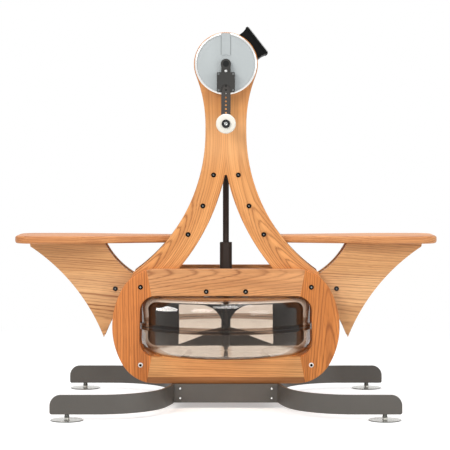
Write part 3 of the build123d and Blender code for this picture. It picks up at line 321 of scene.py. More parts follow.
def grainOf(look, along):
    # how far a point lies across its board, into it and along its grain
    x, y, z = look.axes()
    if along == "x":
        return z, y, x
    if along == "z":
        return x, y, z
    # two mirrored halves glued down the middle, the grain bending with the legs
    half = look.math("SIGN", x)
    bend, top = ash["legBend"]
    drop = look.math("MAXIMUM", top - z, 0.0)
    root = look.math("SQRT", look.math("MAXIMUM", bend * bend - drop * drop, 0.0))
    across = abs(x) - (bend - root) * ash["bendShare"] + half * ash["halfShift"][0]
    # straight in the neck, with arches only in the lower legs
    arched = look.math("MINIMUM", z, ash["archTop"]) * ash["archShare"]
    run = z * (1 - ash["archShare"]) + arched + half * ash["halfShift"][1]
    return across, y, run


def growthRings(look, grain, pith, taper, seed, spacing):
    # rings round a log's pith that lies beside the board, cut by the board's faces:
    # how far a point is through its ring, and how dark the summer wood is there
    across, depth, run = grain
    sway = grainPattern(look, grain, "sway", seed) - 0.5
    waver = grainPattern(look, grain, "waver", seed) - 0.5
    ragged = grainPattern(look, grain, "ragged", seed) - 0.5
    side = across - pith[0] + sway * ash["wander"]
    back = abs(depth) + pith[1]
    reach = look.away(side, back) + run * taper + waver * ash["waver"] + ragged * ash["ragged"]
    count = reach / (ash["ringSpacing"] * spacing)
    uneven = look.noise(look.join(count, seed, 0.0), ash["spacingNoise"], 1.0) - 0.5
    count = count + uneven * ash["unevenness"]
    ring = look.math("FRACT", count)
    start, core, edge = 1.0 - ash["lineWidth"], ash["lineCore"], ash["lineEdge"]
    late = look.ramp(ring, (0.0, edge), (start / 2, 0.0), (start, edge), (core, 1.0), (1.0, edge))
    # single years and whole spells of years differ in darkness
    year = look.noise(look.join(look.math("FLOOR", count), seed, 0.0), ash["yearNoise"], 0.0)
    spell = look.noise(look.join(count, seed + 5.0, 0.0), ash["spellNoise"], 1.0)
    darkness = look.span(year, *ash["yearDarkness"]) * look.span(spell, *ash["spellDarkness"])
    return ring, late * darkness


def ashWood(name, along, pith, taper, light, mid, dark, seed, contrast=1.0, spacing=1.0,
            bevelTop=None, paleBelt=None, paintedShadeUnderDisc=None):
    look = newLook(name)
    grain = grainOf(look, along)
    z = look.axes()[2]
    ring, late = growthRings(look, grain, pith, taper, seed, spacing)
    if along == "leg":
        late = late * look.span(z, *ash["calmNeck"])
    fibre = grainPattern(look, grain, "fibre")
    pores = look.span(grainPattern(look, grain, "pores"), *grainBlend["pores"])
    pores = pores * look.span(ring, *ash["poresInRing"])
    patch = grainPattern(look, grain, "patch", seed)
    streak = grainPattern(look, grain, "streak", seed)
    band = grainPattern(look, grain, "band", seed)
    base = look.mix(look.span(patch, *grainBlend["patch"]), light, mid)
    base = look.mix(look.span(streak, *grainBlend["streak"]) * ash["streaking"], base, mid)
    base = look.mix(look.span(band, *grainBlend["band"]) * ash["banding"], base, dark)
    paleAmount, paleTone = ash["paleBands"]
    base = look.mix(look.span(band, *grainBlend["paleBand"]) * paleAmount, base, toned(light, paleTone))
    # a paler belt between heights; on the fins it leaves their top, under the board, darker as painted
    # shade
    if paleBelt:
        bottom, fullFrom, fullTo, top = paleBelt["heights"]
        pale = look.span(z, bottom, fullFrom) * look.span(z, top, fullTo)
        base = look.mix(pale * paleBelt["amount"], base, ash["paleBeltTone"])
    # painted shade under the disc: the wood darkens between these heights, towards the top
    if paintedShadeUnderDisc:
        base = look.mix(look.span(z, *paintedShadeUnderDisc["heights"]) * paintedShadeUnderDisc["amount"], base, dark)
    colour = look.mix(late * contrast, base, dark)
    colour = look.mix(look.span(fibre, *grainBlend["fibre"]) * ash["fibreTint"], colour, mid)
    colour = look.mix(pores * (ash["poreDepth"] * contrast), colour, dark)
    # painted shade: the downward-facing bevel along a bottom rail is darkened
    if bevelTop:
        bevel = look.span(z, bevelTop + ash["bevelEdge"], bevelTop - ash["bevelEdge"])
        colour = look.mix(bevel * ash["bevelShade"], colour, dark)
    height = fibre * 0.3 - pores + late * 0.5
    rough = look.span(fibre, *wide, *ash["roughness"]) + pores * 0.15
    return look.skin(colour, rough, 0.0, look.bump(height, *ash["relief"]), Coat_Weight=ash["coat"],
                     Coat_Roughness=ash["coatRoughness"], Specular_IOR_Level=ash["gleam"])


railBevel = 0.020    # height of the bevel along a bottom rail

# pith: where the log's middle lies, across the board and behind its face
# taper: how fast the board draws away from the pith along its grain
boards = {
    "ashRingEndLeft": {
        "along": "z", "pith": (-0.40, -0.085), "taper": 0.02, "seed": 0.3,
        "light": tone(238, 156, 88), "mid": tone(220, 134, 66), "dark": tone(108, 40, 8)},
    "ashRingEndRight": {
        "along": "z", "pith": (0.30, -0.092), "taper": 0.07, "seed": 2.1,
        "light": tone(228, 146, 76), "mid": tone(204, 120, 50), "dark": tone(102, 38, 8)},
    "ashRailTop": {
        "along": "x", "pith": (0.390, -0.085), "taper": 0.10, "seed": 4.4,
        "light": tone(228, 168, 114), "mid": tone(204, 138, 82), "dark": tone(112, 46, 12)},
    "ashRailBottom": {
        "along": "x", "pith": (0.03, -0.06), "taper": 0.02, "seed": 6.0, "contrast": 0.7,
        "light": tone(228, 174, 115), "mid": tone(214, 150, 88), "dark": tone(130, 59, 18),
        "bevelTop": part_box("ring_front_bottom_rail")[0].z + railBevel},
    "ashUpright": {
        "along": "leg", "pith": (0.05, -0.062), "taper": 0.16, "seed": 8.2, "contrast": 1.05,
        "light": tone(238, 174, 110), "mid": tone(220, 146, 80), "dark": tone(116, 46, 10),
        "paleBelt": {"heights": (0.68, 0.74, 0.82, 0.86), "amount": 0.22},
        # painted shade on the neck just under the disc
        "paintedShadeUnderDisc": {"heights": (0.868, 0.905), "amount": 0.27}},
    "ashSeatBoard": {
        "along": "x", "pith": (0.30, -0.05), "taper": 0.01, "seed": 9.7, "contrast": 0.9,
        "light": tone(223, 160, 103), "mid": tone(199, 130, 76), "dark": tone(130, 57, 19)},
    "ashSeatFin": {
        "along": "x", "pith": (0.24, 0.02), "taper": 0.06, "seed": 12.3, "contrast": 1.05,
        "light": tone(236, 184, 128), "mid": tone(214, 158, 102), "dark": tone(122, 58, 20),
        # painted shade under the board: the paler belt stops short of the fins' top
        "paleBelt": {"heights": (0.28, 0.315, 0.36, 0.40), "amount": 0.35}},
    "ashCradle": {
        "along": "x", "pith": (0.1, 0.05), "taper": 0.02, "seed": 15.0,
        "light": tone(216, 152, 98), "mid": tone(196, 130, 76), "dark": tone(142, 76, 34)},
}
woods = {name: ashWood(name, **board) for name, board in boards.items()}
print("woods made:", len(woods))


coat = {
    "grain": 2600.0,
    "clouds": 6.0,
    "relief": (0.12, 0.0002),
    "mottling": 0.1,
    "flecks": 0.12,
    "smoother": 0.04,        # how far the roughness strays down and up
    "rougher": 0.05,
}


def steelCoat(name, colour, rough, metal, gleam=0.5):
    # powder coat: a fine grain over soft mottling
    look = newLook(name)
    speck = look.noise(look.spot(), coat["grain"], 2.0)
    cloud = look.noise(look.spot(), coat["clouds"], 3.0)
    dark, lit = toned(colour, 1 - coat["mottling"]), toned(colour, 1 + coat["mottling"])
    shade = look.mix(look.span(cloud, *wide), dark, lit)
    shade = look.mix(look.span(speck, *narrow) * coat["flecks"], shade, lit)
    gloss = look.span(cloud, *wide, rough - coat["smoother"], rough + coat["rougher"])
    return look.skin(shade, gloss, metal, look.bump(speck, *coat["relief"]), Specular_IOR_Level=gleam)


brushing = {
    "lines": 1900.0,
    "alongX": 0.03,          # the less, the longer the straight lines
    "intoY": 0.1,            # the less, the deeper the rings go unchanged
    "clouds": 9.0,
    "clouding": 0.25,
    "dulling": 0.88,
    "relief": (0.08, 0.0001),
    "smoother": 0.05,
    "rougher": 0.07,
}


def spunLines(look):
    # fine rings round the crank's axis, and the distance from that axis
    x, y, z = look.axes()
    radius = look.away(x, z - crankZ)
    return look.noise(look.join(radius, y * brushing["intoY"], 0.0), brushing["lines"], 2.0), radius


def brushedMetal(name, colour, rough, spun=False):
    # fine lines: round the crank's axis when spun, else along X
    look = newLook(name)
    if spun:
        lines = spunLines(look)[0]
    else:
        x, y, z = look.axes()
        lines = look.noise(look.join(x * brushing["alongX"], y, z), brushing["lines"], 2.0)
    cloud = look.noise(look.spot(), brushing["clouds"], 2.0)
    low = toned(colour, brushing["dulling"])
    shade = look.mix(look.span(lines, *medium), low, colour)
    shade = look.mix(look.span(cloud, *medium) * brushing["clouding"], shade, low)
    gloss = look.span(lines, *wide, rough - brushing["smoother"], rough + brushing["rougher"])
    return look.skin(shade, gloss, 1.0, look.bump(lines, *brushing["relief"]))


disc = {
    "stripHalf": 0.0135,         # half the strip's width
    "stripStart": 0.027,         # above the crank's axis
    "stripDulling": 0.45,
    "edge": (0.0007, 0.0016),    # painted shade along the strip's raised edges, fading out between these distances from them
    "edgeTone": tone(120, 124, 124),
    "edgeDarkness": 0.6,
    "rimShade": (0.078, 0.084),      # painted shade: the face grows darker between these radii, next to the raised rim
    "rimShadeDepth": 0.4,
    "clouds": 22.0,
    "cloudHeight": 0.25,         # the less, the taller the clouds
    "clouding": 0.5,
    "tones": (0.93, 0.86),       # of the spun lines and of the dull parts
    "roughness": (0.34, 0.46),
    "metal": 0.55,
}


def discFinish(name, colour):
    # spun face with a plain, duller strip from the hub up to the rim; painted shade along the strip's
    # edges and next to the raised rim
    look = newLook(name)
    x, y, z = look.axes()
    lines, radius = spunLines(look)
    cloud = look.noise(look.join(x, y, z * disc["cloudHeight"]), disc["clouds"], 2.0)
    lineTone, low = [toned(colour, share) for share in disc["tones"]]
    shade = look.mix(look.span(lines, *medium), lineTone, colour)
    shade = look.mix(look.span(cloud, *medium) * disc["clouding"], shade, low)
    above = look.math("GREATER_THAN", z - crankZ, disc["stripStart"])
    strip = above * look.math("LESS_THAN", abs(x), disc["stripHalf"])
    # painted shade: dark lines along the strip's raised edges
    edge = above * look.span(abs(abs(x) - disc["stripHalf"]), *disc["edge"], 1.0, 0.0)
    shade = look.mix(strip * disc["stripDulling"], shade, low)
    shade = look.mix(edge * disc["edgeDarkness"], shade, disc["edgeTone"])
    # painted shade next to the raised rim
    shade = look.mix(look.span(radius, *disc["rimShade"]) * disc["rimShadeDepth"], shade, low)
    gloss = look.span(lines, *wide, *disc["roughness"])
    return look.skin(shade, gloss, disc["metal"], look.bump(lines, *brushing["relief"]))


foot = {
    "plateTop": 0.0078,
    "plateFade": 0.0006,
    "rimTop": 0.0024,
    "rimFade": 0.0004,
    "threadPitch": 0.0012,
    "speckle": 1500.0,
    "dulling": 0.9,
    "roughness": (0.2, 0.3),
    "metal": 0.85,
    "relief": (0.4, 0.0003),
}


def footFinish(name, pale, dark):
    # turned levelling foot: bright plate with a dark turned rim, dull threaded stem
    look = newLook(name)
    z = look.axes()[2]
    speck = look.noise(look.spot(), foot["speckle"], 2.0)
    stem = look.span(z, foot["plateTop"], foot["plateTop"] + foot["plateFade"])
    rim = look.span(z, foot["rimTop"] + foot["rimFade"], foot["rimTop"])
    thread = look.math("SINE", z * (2 * math.pi / foot["threadPitch"]))
    shade = look.mix(speck, toned(pale, foot["dulling"]), pale)
    shade = look.mix(look.math("MAXIMUM", stem, rim), shade, dark)
    height = speck * 0.2 + stem * thread
    gloss = look.span(speck, *wide, *foot["roughness"])
    return look.skin(shade, gloss, foot["metal"], look.bump(height, *foot["relief"]))


moulding = {"clouds": 14.0, "dulling": 0.86, "reliefDepth": 0.0002, "smoother": 0.03, "rougher": 0.06}


def plastic(name, colour, rough, grain=1800.0, relief=0.1, gleam=0.5):
    # moulded plastic or rubber with a fine grain
    look = newLook(name)
    speck = look.noise(look.spot(), grain, 3.0)
    cloud = look.noise(look.spot(), moulding["clouds"], 2.0)
    shade = look.mix(look.span(cloud, *wide), toned(colour, moulding["dulling"]), colour)
    gloss = look.span(speck, *wide, rough - moulding["smoother"], rough + moulding["rougher"])
    bump = look.bump(speck, relief, moulding["reliefDepth"])
    return look.skin(shade, gloss, 0.0, bump, Specular_IOR_Level=gleam)


boltHead = {
    "black": (tone(8, 8, 8), tone(22, 21, 20)),
    "white": (tone(232, 230, 226), tone(250, 249, 246)),
    "speckle": 900.0,
    "roughness": (0.38, 0.5),
    "gleam": 0.06,
    "relief": (0.1, 0.0002),
}


def boltFinish(name, paleBelow=0.0):
    # blackened washers and heads; those below paleBelow are white
    look = newLook(name)
    z = look.axes()[2]
    speck = look.noise(look.spot(), boltHead["speckle"], 2.0)
    black, white = look.mix(speck, *boltHead["black"]), look.mix(speck, *boltHead["white"])
    colour = look.mix(look.math("LESS_THAN", z, paleBelow), black, white)
    gloss = look.span(speck, *wide, *boltHead["roughness"])
    bump = look.bump(speck, *boltHead["relief"])
    return look.skin(colour, gloss, 0.0, bump, Specular_IOR_Level=boltHead["gleam"])


hardware = {
    "boltReach": 0.012,      # radius that holds the whole bolt
    "finInset": 0.0005,
    "boltTone": tone(14, 13, 13),
    "speckle": 900.0,
    "dulling": 0.85,
    "roughness": (0.34, 0.46),
    "metal": 0.2,
    "relief": (0.1, 0.0002),
}


def hardwareFinish(name, steel):
    # steel shoe and tube, with a black bolt where it stands out of the fins
    look = newLook(name)
    x, y, z = look.axes()
    low, high = finBolt("right")
    near = look.away(abs(x) - (low.x + high.x) / 2, z - (low.z + high.z) / 2)
    near = look.math("LESS_THAN", near, hardware["boltReach"])
    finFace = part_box("seat_fins_right")[1].y - hardware["finInset"]
    outside = look.math("GREATER_THAN", abs(y), finFace)
    speck = look.noise(look.spot(), hardware["speckle"], 2.0)
    shade = look.mix(speck, toned(steel, hardware["dulling"]), steel)
    shade = look.mix(near * outside, shade, hardware["boltTone"])
    gloss = look.span(speck, *wide, *hardware["roughness"])
    return look.skin(shade, gloss, hardware["metal"], look.bump(speck, *hardware["relief"]))


axle = {
    "washerInset": 0.0043,   # from the grip's outer end to the washer
    "washerTone": tone(6, 6, 6),
    "speckle": 1800.0,
    "clouds": 8.0,
    "dulling": 0.85,
    "roughness": (0.36, 0.48),
    "metal": 0.1,
    "relief": (0.12, 0.0002),
}


def axleFinish(name, steel):
    # coated bar; the washer at the grip's end is black
    look = newLook(name)
    y = look.axes()[1]
    washer = look.math("GREATER_THAN", abs(y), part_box("grip_rear")[1].y - axle["washerInset"])
    speck = look.noise(look.spot(), axle["speckle"], 2.0)
    cloud = look.noise(look.spot(), axle["clouds"], 2.0)
    shade = look.mix(look.span(cloud, *wide), toned(steel, axle["dulling"]), steel)
    shade = look.mix(washer, shade, axle["washerTone"])
    gloss = look.span(speck, *wide, *axle["roughness"])
    return look.skin(shade, gloss, axle["metal"], look.bump(speck, *axle["relief"]))


shell = {
    "flangeWidth": 0.0060,
    "bending": 1.30,         # index of refraction
    "gleam": 0.45,
    "slant": (0.48, 0.76),   # the wall darkens as it turns away between these
    "haze": 30.0,
    "hazeTone": 1.05,
    "roughness": (0.03, 0.05),
}


def clearShell(name, tint, deep):
    # smoked clear plastic, darker where the wall is seen along its length and in the flange
    look = newLook(name)
    x, y, z = look.axes()
    haze = look.noise(look.spot(), shell["haze"], 2.0)
    slant = look.node("ShaderNodeLayerWeight", Blend=0.5).outputs["Facing"]
    shade = look.mix(look.span(haze, *wide), tint, toned(tint, shell["hazeTone"]))
    shade = look.mix(look.span(slant, *shell["slant"]), shade, deep)
    flange = look.math("GREATER_THAN", look.away(x, y), shellHigh.x - shell["flangeWidth"])
    shade = look.mix(flange, shade, deep)
    gloss = look.span(haze, *wide, *shell["roughness"])
    return look.clearSkin(shade, gloss, tint, Transmission_Weight=1.0, IOR=shell["bending"],
                          Specular_IOR_Level=shell["gleam"])


lowBoltsUnder = 0.2   # height under which the ring bolts are the white ones
baseCoat = steelCoat("baseCoat", tone(88, 84, 79), 0.40, 0.3)
ringBolt = boltFinish("ringBolt", lowBoltsUnder)
seatSteel = hardwareFinish("seatSteel", tone(92, 90, 88))
barCoat = axleFinish("barCoat", tone(62, 58, 55))
chrome = brushedMetal("chrome", tone(236, 236, 234), 0.12)
capSteel = brushedMetal("capSteel", tone(50, 51, 51), 0.3, spun=True)
boltZinc = brushedMetal("boltZinc", tone(172, 174, 172), 0.24)
screwZinc = brushedMetal("screwZinc", tone(128, 130, 130), 0.24)
darkSocket = boltFinish("darkSocket")
ribGrey = plastic("ribGrey", tone(120, 120, 118), 0.42)

# the finish for each material slot of the frame
bySlot = {
    "frame_wood": woods["ashUpright"],
    "seat_wood": woods["ashSeatBoard"],
    "cradle_wood": woods["ashCradle"],
    "base_steel": baseCoat,
    "foot_metal": footFinish("footChrome", tone(206, 204, 198), tone(84, 84, 80)),
    "crank_paint": steelCoat("crankCoat", tone(48, 47, 45), 0.42, 0.2),
    "shaft_paint": steelCoat("shaftCoat", tone(60, 50, 45), 0.46, 0.1, gleam=0.25),
    "drum_paint": steelCoat("drumCoat", tone(60, 60, 60), 0.5, 0.2),
    "paddle_metal": steelCoat("paddleCoat", tone(24, 22, 20), 0.42, 0.0, gleam=0.15),
    "rim_metal": brushedMetal("rimChrome", tone(244, 244, 242), 0.16, spun=True),
    "disc_metal": discFinish("discSpun", tone(185, 191, 192)),
    "plain_steel": brushedMetal("plainSteel", tone(176, 176, 176), 0.3),
    "bolt_steel": boltFinish("legBolt"),
    "grip_plastic": plastic("gripWhite", tone(238, 234, 222), 0.35, grain=900.0, relief=0.05),
    "console_plastic": plastic("consoleBlack", tone(9, 10, 10), 0.5, gleam=0.12),
    "console_glass": plastic("consoleGlass", tone(26, 30, 30), 0.08, grain=600.0, relief=0.0),
    "seal_rubber": plastic("sealRubber", tone(40, 39, 38), 0.6),
    "plug_plastic": plastic("plugBlack", tone(44, 44, 44), 0.5),
    "tank_smoke": clearShell("tankSmoke", tone(234, 223, 213), tone(112, 86, 68)),
}

# nodes with a finish of their own, by a word in the node's name
byWord = {
    "left_end": woods["ashRingEndLeft"],
    "right_end": woods["ashRingEndRight"],
    "top_rail": woods["ashRailTop"],
    "bottom_rail": woods["ashRailBottom"],
    "seat_fins": woods["ashSeatFin"],
    "ring_bolts": ringBolt,
    "base_bolts": baseCoat,
    "clamp_screws": screwZinc,
    "seat_hardware": seatSteel,
    "crank_bar": barCoat,
}
for name, piece in nodes.items():
    own = [finish for word, finish in byWord.items() if word in name]
    for slot in piece.material_slots:
        slotName = slot.material.name.split(".")[0] if slot.material else ""
        slot.material = own[0] if own else bySlot.get(slotName, baseCoat)
    print("finish", name, [slot.material.name for slot in piece.material_slots])


def only(piece):
    bpy.ops.object.select_all(action="DESELECT")
    piece.select_set(True)
    bpy.context.view_layer.objects.active = piece


def applyPlace():
    bpy.ops.object.transform_apply(location=True, rotation=True, scale=True)


def pickFaces(piece, test):
    # in edit mode, selects the faces for which test(centre, normal) holds
    bpy.ops.mesh.select_mode(type="FACE")
    bpy.ops.mesh.select_all(action="DESELECT")
    mesh = bmesh.from_edit_mesh(piece.data)
    for face in mesh.faces:
        face.select = bool(test(face.calc_center_median(), face.normal))
    mesh.select_flush_mode()
    bmesh.update_edit_mesh(piece.data)


def facingFront(centre, normal):
    return normal.y < -0.9


def soften(piece, width):
    only(piece)
    edge = piece.modifiers.new("softEdge", "BEVEL")
    edge.width = width
    edge.segments = 2
    edge.limit_method = "ANGLE"
    edge.angle_limit = math.radians(30)
    bpy.ops.object.modifier_apply(modifier="softEdge")


def blank(name, sides, radius, depth, proud):
    # a rod along Y whose front end stands proud of a face at y = 0
    bpy.ops.object.select_all(action="DESELECT")
    turn = (math.radians(90), 0, 0)
    bpy.ops.mesh.primitive_cylinder_add(vertices=sides, radius=radius, depth=depth, rotation=turn,
                                        location=(0, depth / 2 - proud, 0))
    piece = bpy.context.object
    piece.name = name
    applyPlace()
    return piece


def stepIn(thickness, shift):
    # insets the selected faces and moves them along Y
    bpy.ops.mesh.inset(thickness=thickness, depth=0.0)
    bpy.ops.transform.translate(value=(0, shift, 0))


def closePiece(piece, finish, body, angle=35):
    only(piece)
    applyPlace()
    bpy.ops.object.shade_smooth_by_angle(angle=math.radians(angle))
    piece.data.materials.clear()
    piece.data.materials.append(finish)
    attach(piece, body)


def gather(name, copies):
    bpy.ops.object.select_all(action="DESELECT")
    for copy in copies:
        copy.select_set(True)
    bpy.context.view_layer.objects.active = copies[0]
    if len(copies) > 1:
        bpy.ops.object.join()
    copies[0].name = name
    return copies[0]


def copyTo(pattern, places):
    # places are (x, y, z, turned): turned copies face the rear
    copies = []
    for x, y, z, turned in places:
        only(pattern)
        bpy.ops.object.duplicate()
        copy = bpy.context.object
        copy.rotation_euler = (0.0, 0.0, math.pi if turned else 0.0)
        copy.location = (x, y, z)
        applyPlace()
        copies.append(copy)
    return copies


def standOn(name, pattern, places, finish, body):
    # one piece of copies of the pattern, which is used up
    closePiece(gather(name, copyTo(pattern, places)), finish, body)
    bpy.data.objects.remove(pattern)


insert = {
    "radius": 0.0030,
    "depth": 0.0016,
    "rim": 0.0007,
    "socket": 0.0008,      # depth of the socket
    "innerRim": 0.00042,
    "proud": 0.0012,
    "softness": 0.0003,
    "small": 0.72,         # radius in the leg, ring and fin bolts, as a share
    "plain": 1.0,
    "wide": 1.3,
}


def boltInsert(size):
    # small button with a socket, facing -Y
    button = blank("boltInsert", 24, insert["radius"] * insert[size], insert["depth"], insert["proud"])
    bpy.ops.object.mode_set(mode="EDIT")
    pickFaces(button, facingFront)
    bpy.ops.mesh.inset(thickness=insert["rim"], depth=0.0)
    bpy.ops.mesh.extrude_region_move(TRANSFORM_OT_translate={"value": (0, insert["socket"], 0)})
    bpy.ops.mesh.inset(thickness=insert["innerRim"], depth=0.0)
    bpy.ops.object.mode_set(mode="OBJECT")
    soften(button, insert["softness"])
    return button


def bothFaces(boxes):
    # a place on the front and on the rear end of every through bolt
    places = []
    for low, high in boxes:
        x, z = (low.x + high.x) / 2, (low.z + high.z) / 2
        places.append((x, low.y, z, False))
        places.append((x, high.y, z, True))
    return places


def outerFaces(node):
    # a place on the outward end of every bolt of a node
    boxes = islands(node)
    return [placeOn(node, (low.x + high.x) / 2, (low.z + high.z) / 2, low.y > 0) for low, high in boxes]


ringPlaces = bothFaces(islands("ring_bolts"))
highPlaces = [place for place in ringPlaces if place[2] > lowBoltsUnder]
lowPlaces = [place for place in ringPlaces if place[2] < lowBoltsUnder]
sockets = (
    ("legBoltSockets", "small", bothFaces(islands("leg_bolts")), screwZinc, "frame"),
    ("ringBoltSockets", "small", highPlaces, boltZinc, "frame"),
    ("lowBoltSockets", "wide", lowPlaces, darkSocket, "frame"),
    ("leftFinBoltSockets", "small", bothFaces([finBolt("left")]), screwZinc, "left_seat"),
    ("rightFinBoltSockets", "small", bothFaces([finBolt("right")]), screwZinc, "right_seat"),
    ("plateBoltSockets", "plain", outerFaces("base_bolts"), chrome, "frame"),
)
for name, size, places, finish, body in sockets:
    standOn(name, boltInsert(size), places, finish, body)
print("bolt sockets made")


crankEnd = {
    "flushRise": 0.00024,    # under the 0.3 mm by which the sliding bar clears the arm
    "capRadius": 0.0088,
    "screwRadius": 0.0038,
    "screwDrop": 0.0213,     # below the crank's axis
    "screwDish": 0.4,        # depth of the dimple, as a share of the rise
    "boltRadius": 0.0056,
    "boltRise": 0.0034,
    "boltStep": 0.0012,
    "boltNose": 0.0005,
    "boltEye": 0.0008,
    "boltSoftness": 0.0004,
}
dome = {
    "steps": ((0.16, 0.24), (0.22, 0.16), (0.26, 0.08)),   # shares of the radius and of the rise
    "dishEdge": 0.08,
    "softness": 0.2,
}


def domedCap(name, radius, rise, dished=0.0):
    # low dome facing -Y, with a dimple when dished
    # every face of so flat a dome faces the front, so each step insets them all and some overlap
    cap = blank(name, 40, radius, rise / 2, rise / 2)
    bpy.ops.object.mode_set(mode="EDIT")
    for share, lift in dome["steps"]:
        pickFaces(cap, facingFront)
        stepIn(radius * share, -rise * lift)
    if dished:
        pickFaces(cap, facingFront)
        stepIn(radius * dome["dishEdge"], rise * dished)
    bpy.ops.object.mode_set(mode="OBJECT")
    soften(cap, rise * dome["softness"])
    return cap


def endBolt():
    # six-sided bolt head facing -Y, with a stepped face
    bolt = blank("gripBolt", 6, crankEnd["boltRadius"], crankEnd["boltRise"], crankEnd["boltRise"])
    bpy.ops.object.mode_set(mode="EDIT")
    pickFaces(bolt, facingFront)
    stepIn(crankEnd["boltStep"], -crankEnd["boltNose"])
    stepIn(crankEnd["boltStep"], crankEnd["boltEye"])
    bpy.ops.object.mode_set(mode="OBJECT")
    soften(bolt, crankEnd["boltSoftness"])
    return bolt


for label, turned in (("front", False), ("rear", True)):
    arm, bar = "crank_arm_" + label, "crank_bar_" + label
    cap = domedCap("hubCap", crankEnd["capRadius"], crankEnd["flushRise"])
    place = placeOn(arm, 0, crankZ, turned)
    standOn(label + "HubCap", cap, [place], capSteel, "crank")
    screw = domedCap("armScrew", crankEnd["screwRadius"], crankEnd["flushRise"], crankEnd["screwDish"])
    place = placeOn(arm, 0, crankZ - crankEnd["screwDrop"], turned)
    standOn(label + "ArmScrew", screw, [place], chrome, "crank")
    place = placeOn(bar, 0, gripZ, turned)
    standOn(label + "GripBolt", endBolt(), [place], boltZinc, label + "_bar")
print("crank caps and bolts made")


rib = {
    "angle": 38.0,       # the screen's tilt
    "face": 0.1177,      # from the crank's axis to the bezel's face
    "sunk": 0.0002,
    "pitch": 0.0034,
    "width": 0.0017,
    "rise": 0.0026,
    "run": 0.0925,       # length of a row
    "inner": 0.0530,
    "outer": 0.0705,
    "softness": 0.0005,
}


def bezelRibs():
    # a row of moulded ribs down each side of the screen
    tilt = math.radians(rib["angle"])
    out, up = Vector((math.cos(tilt), 0, math.sin(tilt))), Vector((-math.sin(tilt), 0, math.cos(tilt)))
    count = int(rib["run"] / rib["pitch"])
    start = Vector((0, 0, crankZ)) + out * (rib["face"] + rib["rise"] / 2 - rib["sunk"])
    start -= up * (count - 1) * rib["pitch"] / 2
    start.y = -(rib["inner"] + rib["outer"]) / 2
    bpy.ops.object.select_all(action="DESELECT")
    bpy.ops.mesh.primitive_cube_add(size=1.0, location=start, rotation=(0, -tilt, 0),
                                    scale=(rib["rise"], rib["outer"] - rib["inner"], rib["width"]))
    row = bpy.context.object
    applyPlace()
    soften(row, rib["softness"])
    steps = row.modifiers.new("steps", "ARRAY")
    steps.use_relative_offset = False
    steps.use_constant_offset = True
    steps.constant_offset_displace = up * rib["pitch"]
    steps.count = count
    bpy.ops.object.modifier_apply(modifier="steps")
    bpy.ops.object.duplicate()
    other = bpy.context.object
    bpy.ops.transform.translate(value=(0, rib["inner"] + rib["outer"], 0))
    applyPlace()
    return gather("bezelRibs", [row, other])


closePiece(bezelRibs(), ribGrey, "frame")
print("console ribs made")


water = {
    "inset": 0.0113,         # from the flange's edge to the water's side: flange, wall and a hair
    "floorGap": 0.0046,      # from the shell's underside to the water's
    "underSeam": 0.0087,     # from the lower shell's top down to the level
    "corner": 0.0415,
    "brim": 0.004,           # width of the raised brim at the wall
    "meniscus": 0.0015,
    "tint": tone(250, 251, 249),
    "clouds": 9.0,
    "milkTone": 0.96,
    "roughness": (0.03, 0.05),
    "clearness": 0.97,
    "bending": 1.01,         # index of refraction
}


def waterFinish(name, tint):
    # still water: hardly bends the view, a little milky
    look = newLook(name)
    cloud = look.noise(look.spot(), water["clouds"], 3.0)
    shade = look.mix(look.span(cloud, *wide), tint, toned(tint, water["milkTone"]))
    gloss = look.span(cloud, *wide, *water["roughness"])
    return look.clearSkin(shade, gloss, tint, Transmission_Weight=water["clearness"], IOR=water["bending"])


def tankWater():
    bpy.ops.object.select_all(action="DESELECT")
    bottom, level = shellLow.z + water["floorGap"], shellHigh.z - water["underSeam"]
    middle = (bottom + level) / 2
    bpy.ops.mesh.primitive_cylinder_add(vertices=128, radius=shellHigh.x - water["inset"],
                                        depth=level - bottom, location=(0, 0, middle))
    body = bpy.context.object
    body.name = "tankWater"
    applyPlace()
    bpy.ops.object.mode_set(mode="EDIT")
    bpy.ops.mesh.select_mode(type="EDGE")
    bpy.ops.mesh.select_all(action="DESELECT")
    mesh = bmesh.from_edit_mesh(body.data)
    for edge in mesh.edges:
        edge.select = all(vert.co.z < middle for vert in edge.verts)
    bmesh.update_edit_mesh(body.data)
    bpy.ops.mesh.bevel(offset=water["corner"], segments=8, profile=0.5)
    pickFaces(body, lambda centre, normal: normal.z > 0.9)
    bpy.ops.mesh.inset(thickness=water["brim"], depth=0.0)
    bpy.ops.transform.translate(value=(0, 0, -water["meniscus"]))
    bpy.ops.object.mode_set(mode="OBJECT")
    return body


closePiece(tankWater(), waterFinish("tankWaterLook", water["tint"]), "frame", 50)
print("tank water made")


studio = {
    "ambient": 0.50,
    "ambientTone": (0.97, 0.98, 1.0, 1.0),
    "floorSize": 14.0,
    "floorTones": (tone(232, 232, 232), tone(238, 238, 238)),
    "floorGrain": 300.0,
    "floorLift": 0.40,
    "floorFade": (1.0, 2.4),     # the floor turns plain white between these distances
}


def floorFinish():
    look = newLook("paleFloor")
    x, y, z = look.axes()
    far = look.span(look.away(x, y), *studio["floorFade"])
    grain = look.noise(look.spot(), studio["floorGrain"], 2.0)
    paintTone = look.mix(look.span(grain, *narrow), *studio["floorTones"])
    paint = look.node("ShaderNodeBsdfDiffuse", Color=paintTone)
    lift = look.node("ShaderNodeEmission", Color=grey(1.0), Strength=studio["floorLift"])
    near = look.node("ShaderNodeAddShader", i0=paint.outputs[0], i1=lift.outputs[0])
    white = look.node("ShaderNodeEmission", Color=grey(1.0), Strength=1.0)
    shown = look.mixShader(far, near, white)
    return look.end(look.mixShader(look.seen(), paint, shown))


bpy.ops.object.select_all(action="DESELECT")
bpy.ops.mesh.primitive_plane_add(size=studio["floorSize"], location=(0, 0, cadBox[0].z))
floor = bpy.context.object
floor.name = "floor"
applyPlace()
floor.data.materials.append(floorFinish())

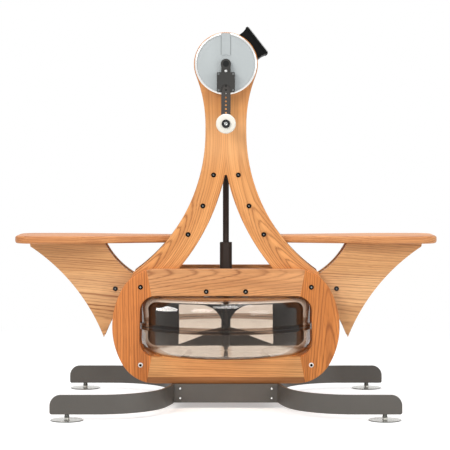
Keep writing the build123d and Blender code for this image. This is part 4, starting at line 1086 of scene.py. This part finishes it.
bpy.context.scene.world = bpy.data.worlds.new("softRoom")
room = Wiring(bpy.context.scene.world)
ambient = room.node("ShaderNodeBackground", Color=studio["ambientTone"], Strength=studio["ambient"])
white = room.node("ShaderNodeBackground", Color=grey(1.0), Strength=1.0)
room.end(room.mixShader(room.seen(), ambient, white), "ShaderNodeOutputWorld")


def softLamp(name, place, target, size, power, colour=(1, 1, 1)):
    data = bpy.data.lights.new(name, "AREA")
    data.shape = "RECTANGLE"
    data.size, data.size_y = size
    data.energy = power
    data.color = colour
    lamp = bpy.data.objects.new(name, data)
    bpy.context.scene.collection.objects.link(lamp)
    lamp.location = place
    lamp.rotation_euler = (Vector(target) - Vector(place)).to_track_quat("-Z", "Y").to_euler()
    return lamp


# each lamp's place, target, size and power, and its colour where it isn't white
lamps = {
    "keyLamp": ((-1.8, -2.6, 2.4), (0, 0, 0.45), (1.6, 1.6), 62.0, (1.0, 0.98, 0.95)),
    "fillLamp": ((2.4, -2.4, 1.2), (0, 0, 0.45), (1.6, 1.6), 26.0),
    "topLamp": ((0.2, 0.1, 3.0), (0, 0, 0.4), (3.0, 1.2), 44.0),
}
for name, values in lamps.items():
    softLamp(name, *values)

# round panels that only show as gleams on the tank's shells
gleams = {
    "sideGleam": ((-2.04, 0.05, 1.08), (-0.176, -0.183, 0.294), (1.8, 1.15), 120.0),
    "overGleam": ((0.02, -1.45, 3.0), (0.0, -0.24, 0.304), (1.5, 1.2), 65.0),
}
tankShells = bpy.data.collections.new("tankShells")
for name in ("tank_upper_shell", "tank_lower_shell"):
    tankShells.objects.link(nodes[name])
for name, values in gleams.items():
    gleam = softLamp(name, *values)
    gleam.data.shape = "ELLIPSE"
    gleam.visible_diffuse = False
    gleam.light_linking.receiver_collection = tankShells

view = {"distance": 5.65, "height": 0.765, "sensor": 36.0, "lens": 153.2, "shift": (-0.002, -0.18)}
cameraData = bpy.data.cameras.new("camera")
cameraData.sensor_width = view["sensor"]
cameraData.lens = view["lens"]
cameraData.shift_x, cameraData.shift_y = view["shift"]
camera = bpy.data.objects.new("camera", cameraData)
camera.location = (0.0, -view["distance"], view["height"])
camera.rotation_euler = (math.radians(90), 0.0, 0.0)
bpy.context.scene.collection.objects.link(camera)
bpy.context.scene.camera = camera
bpy.context.scene.view_settings.view_transform = "Standard"
print("studio ready")
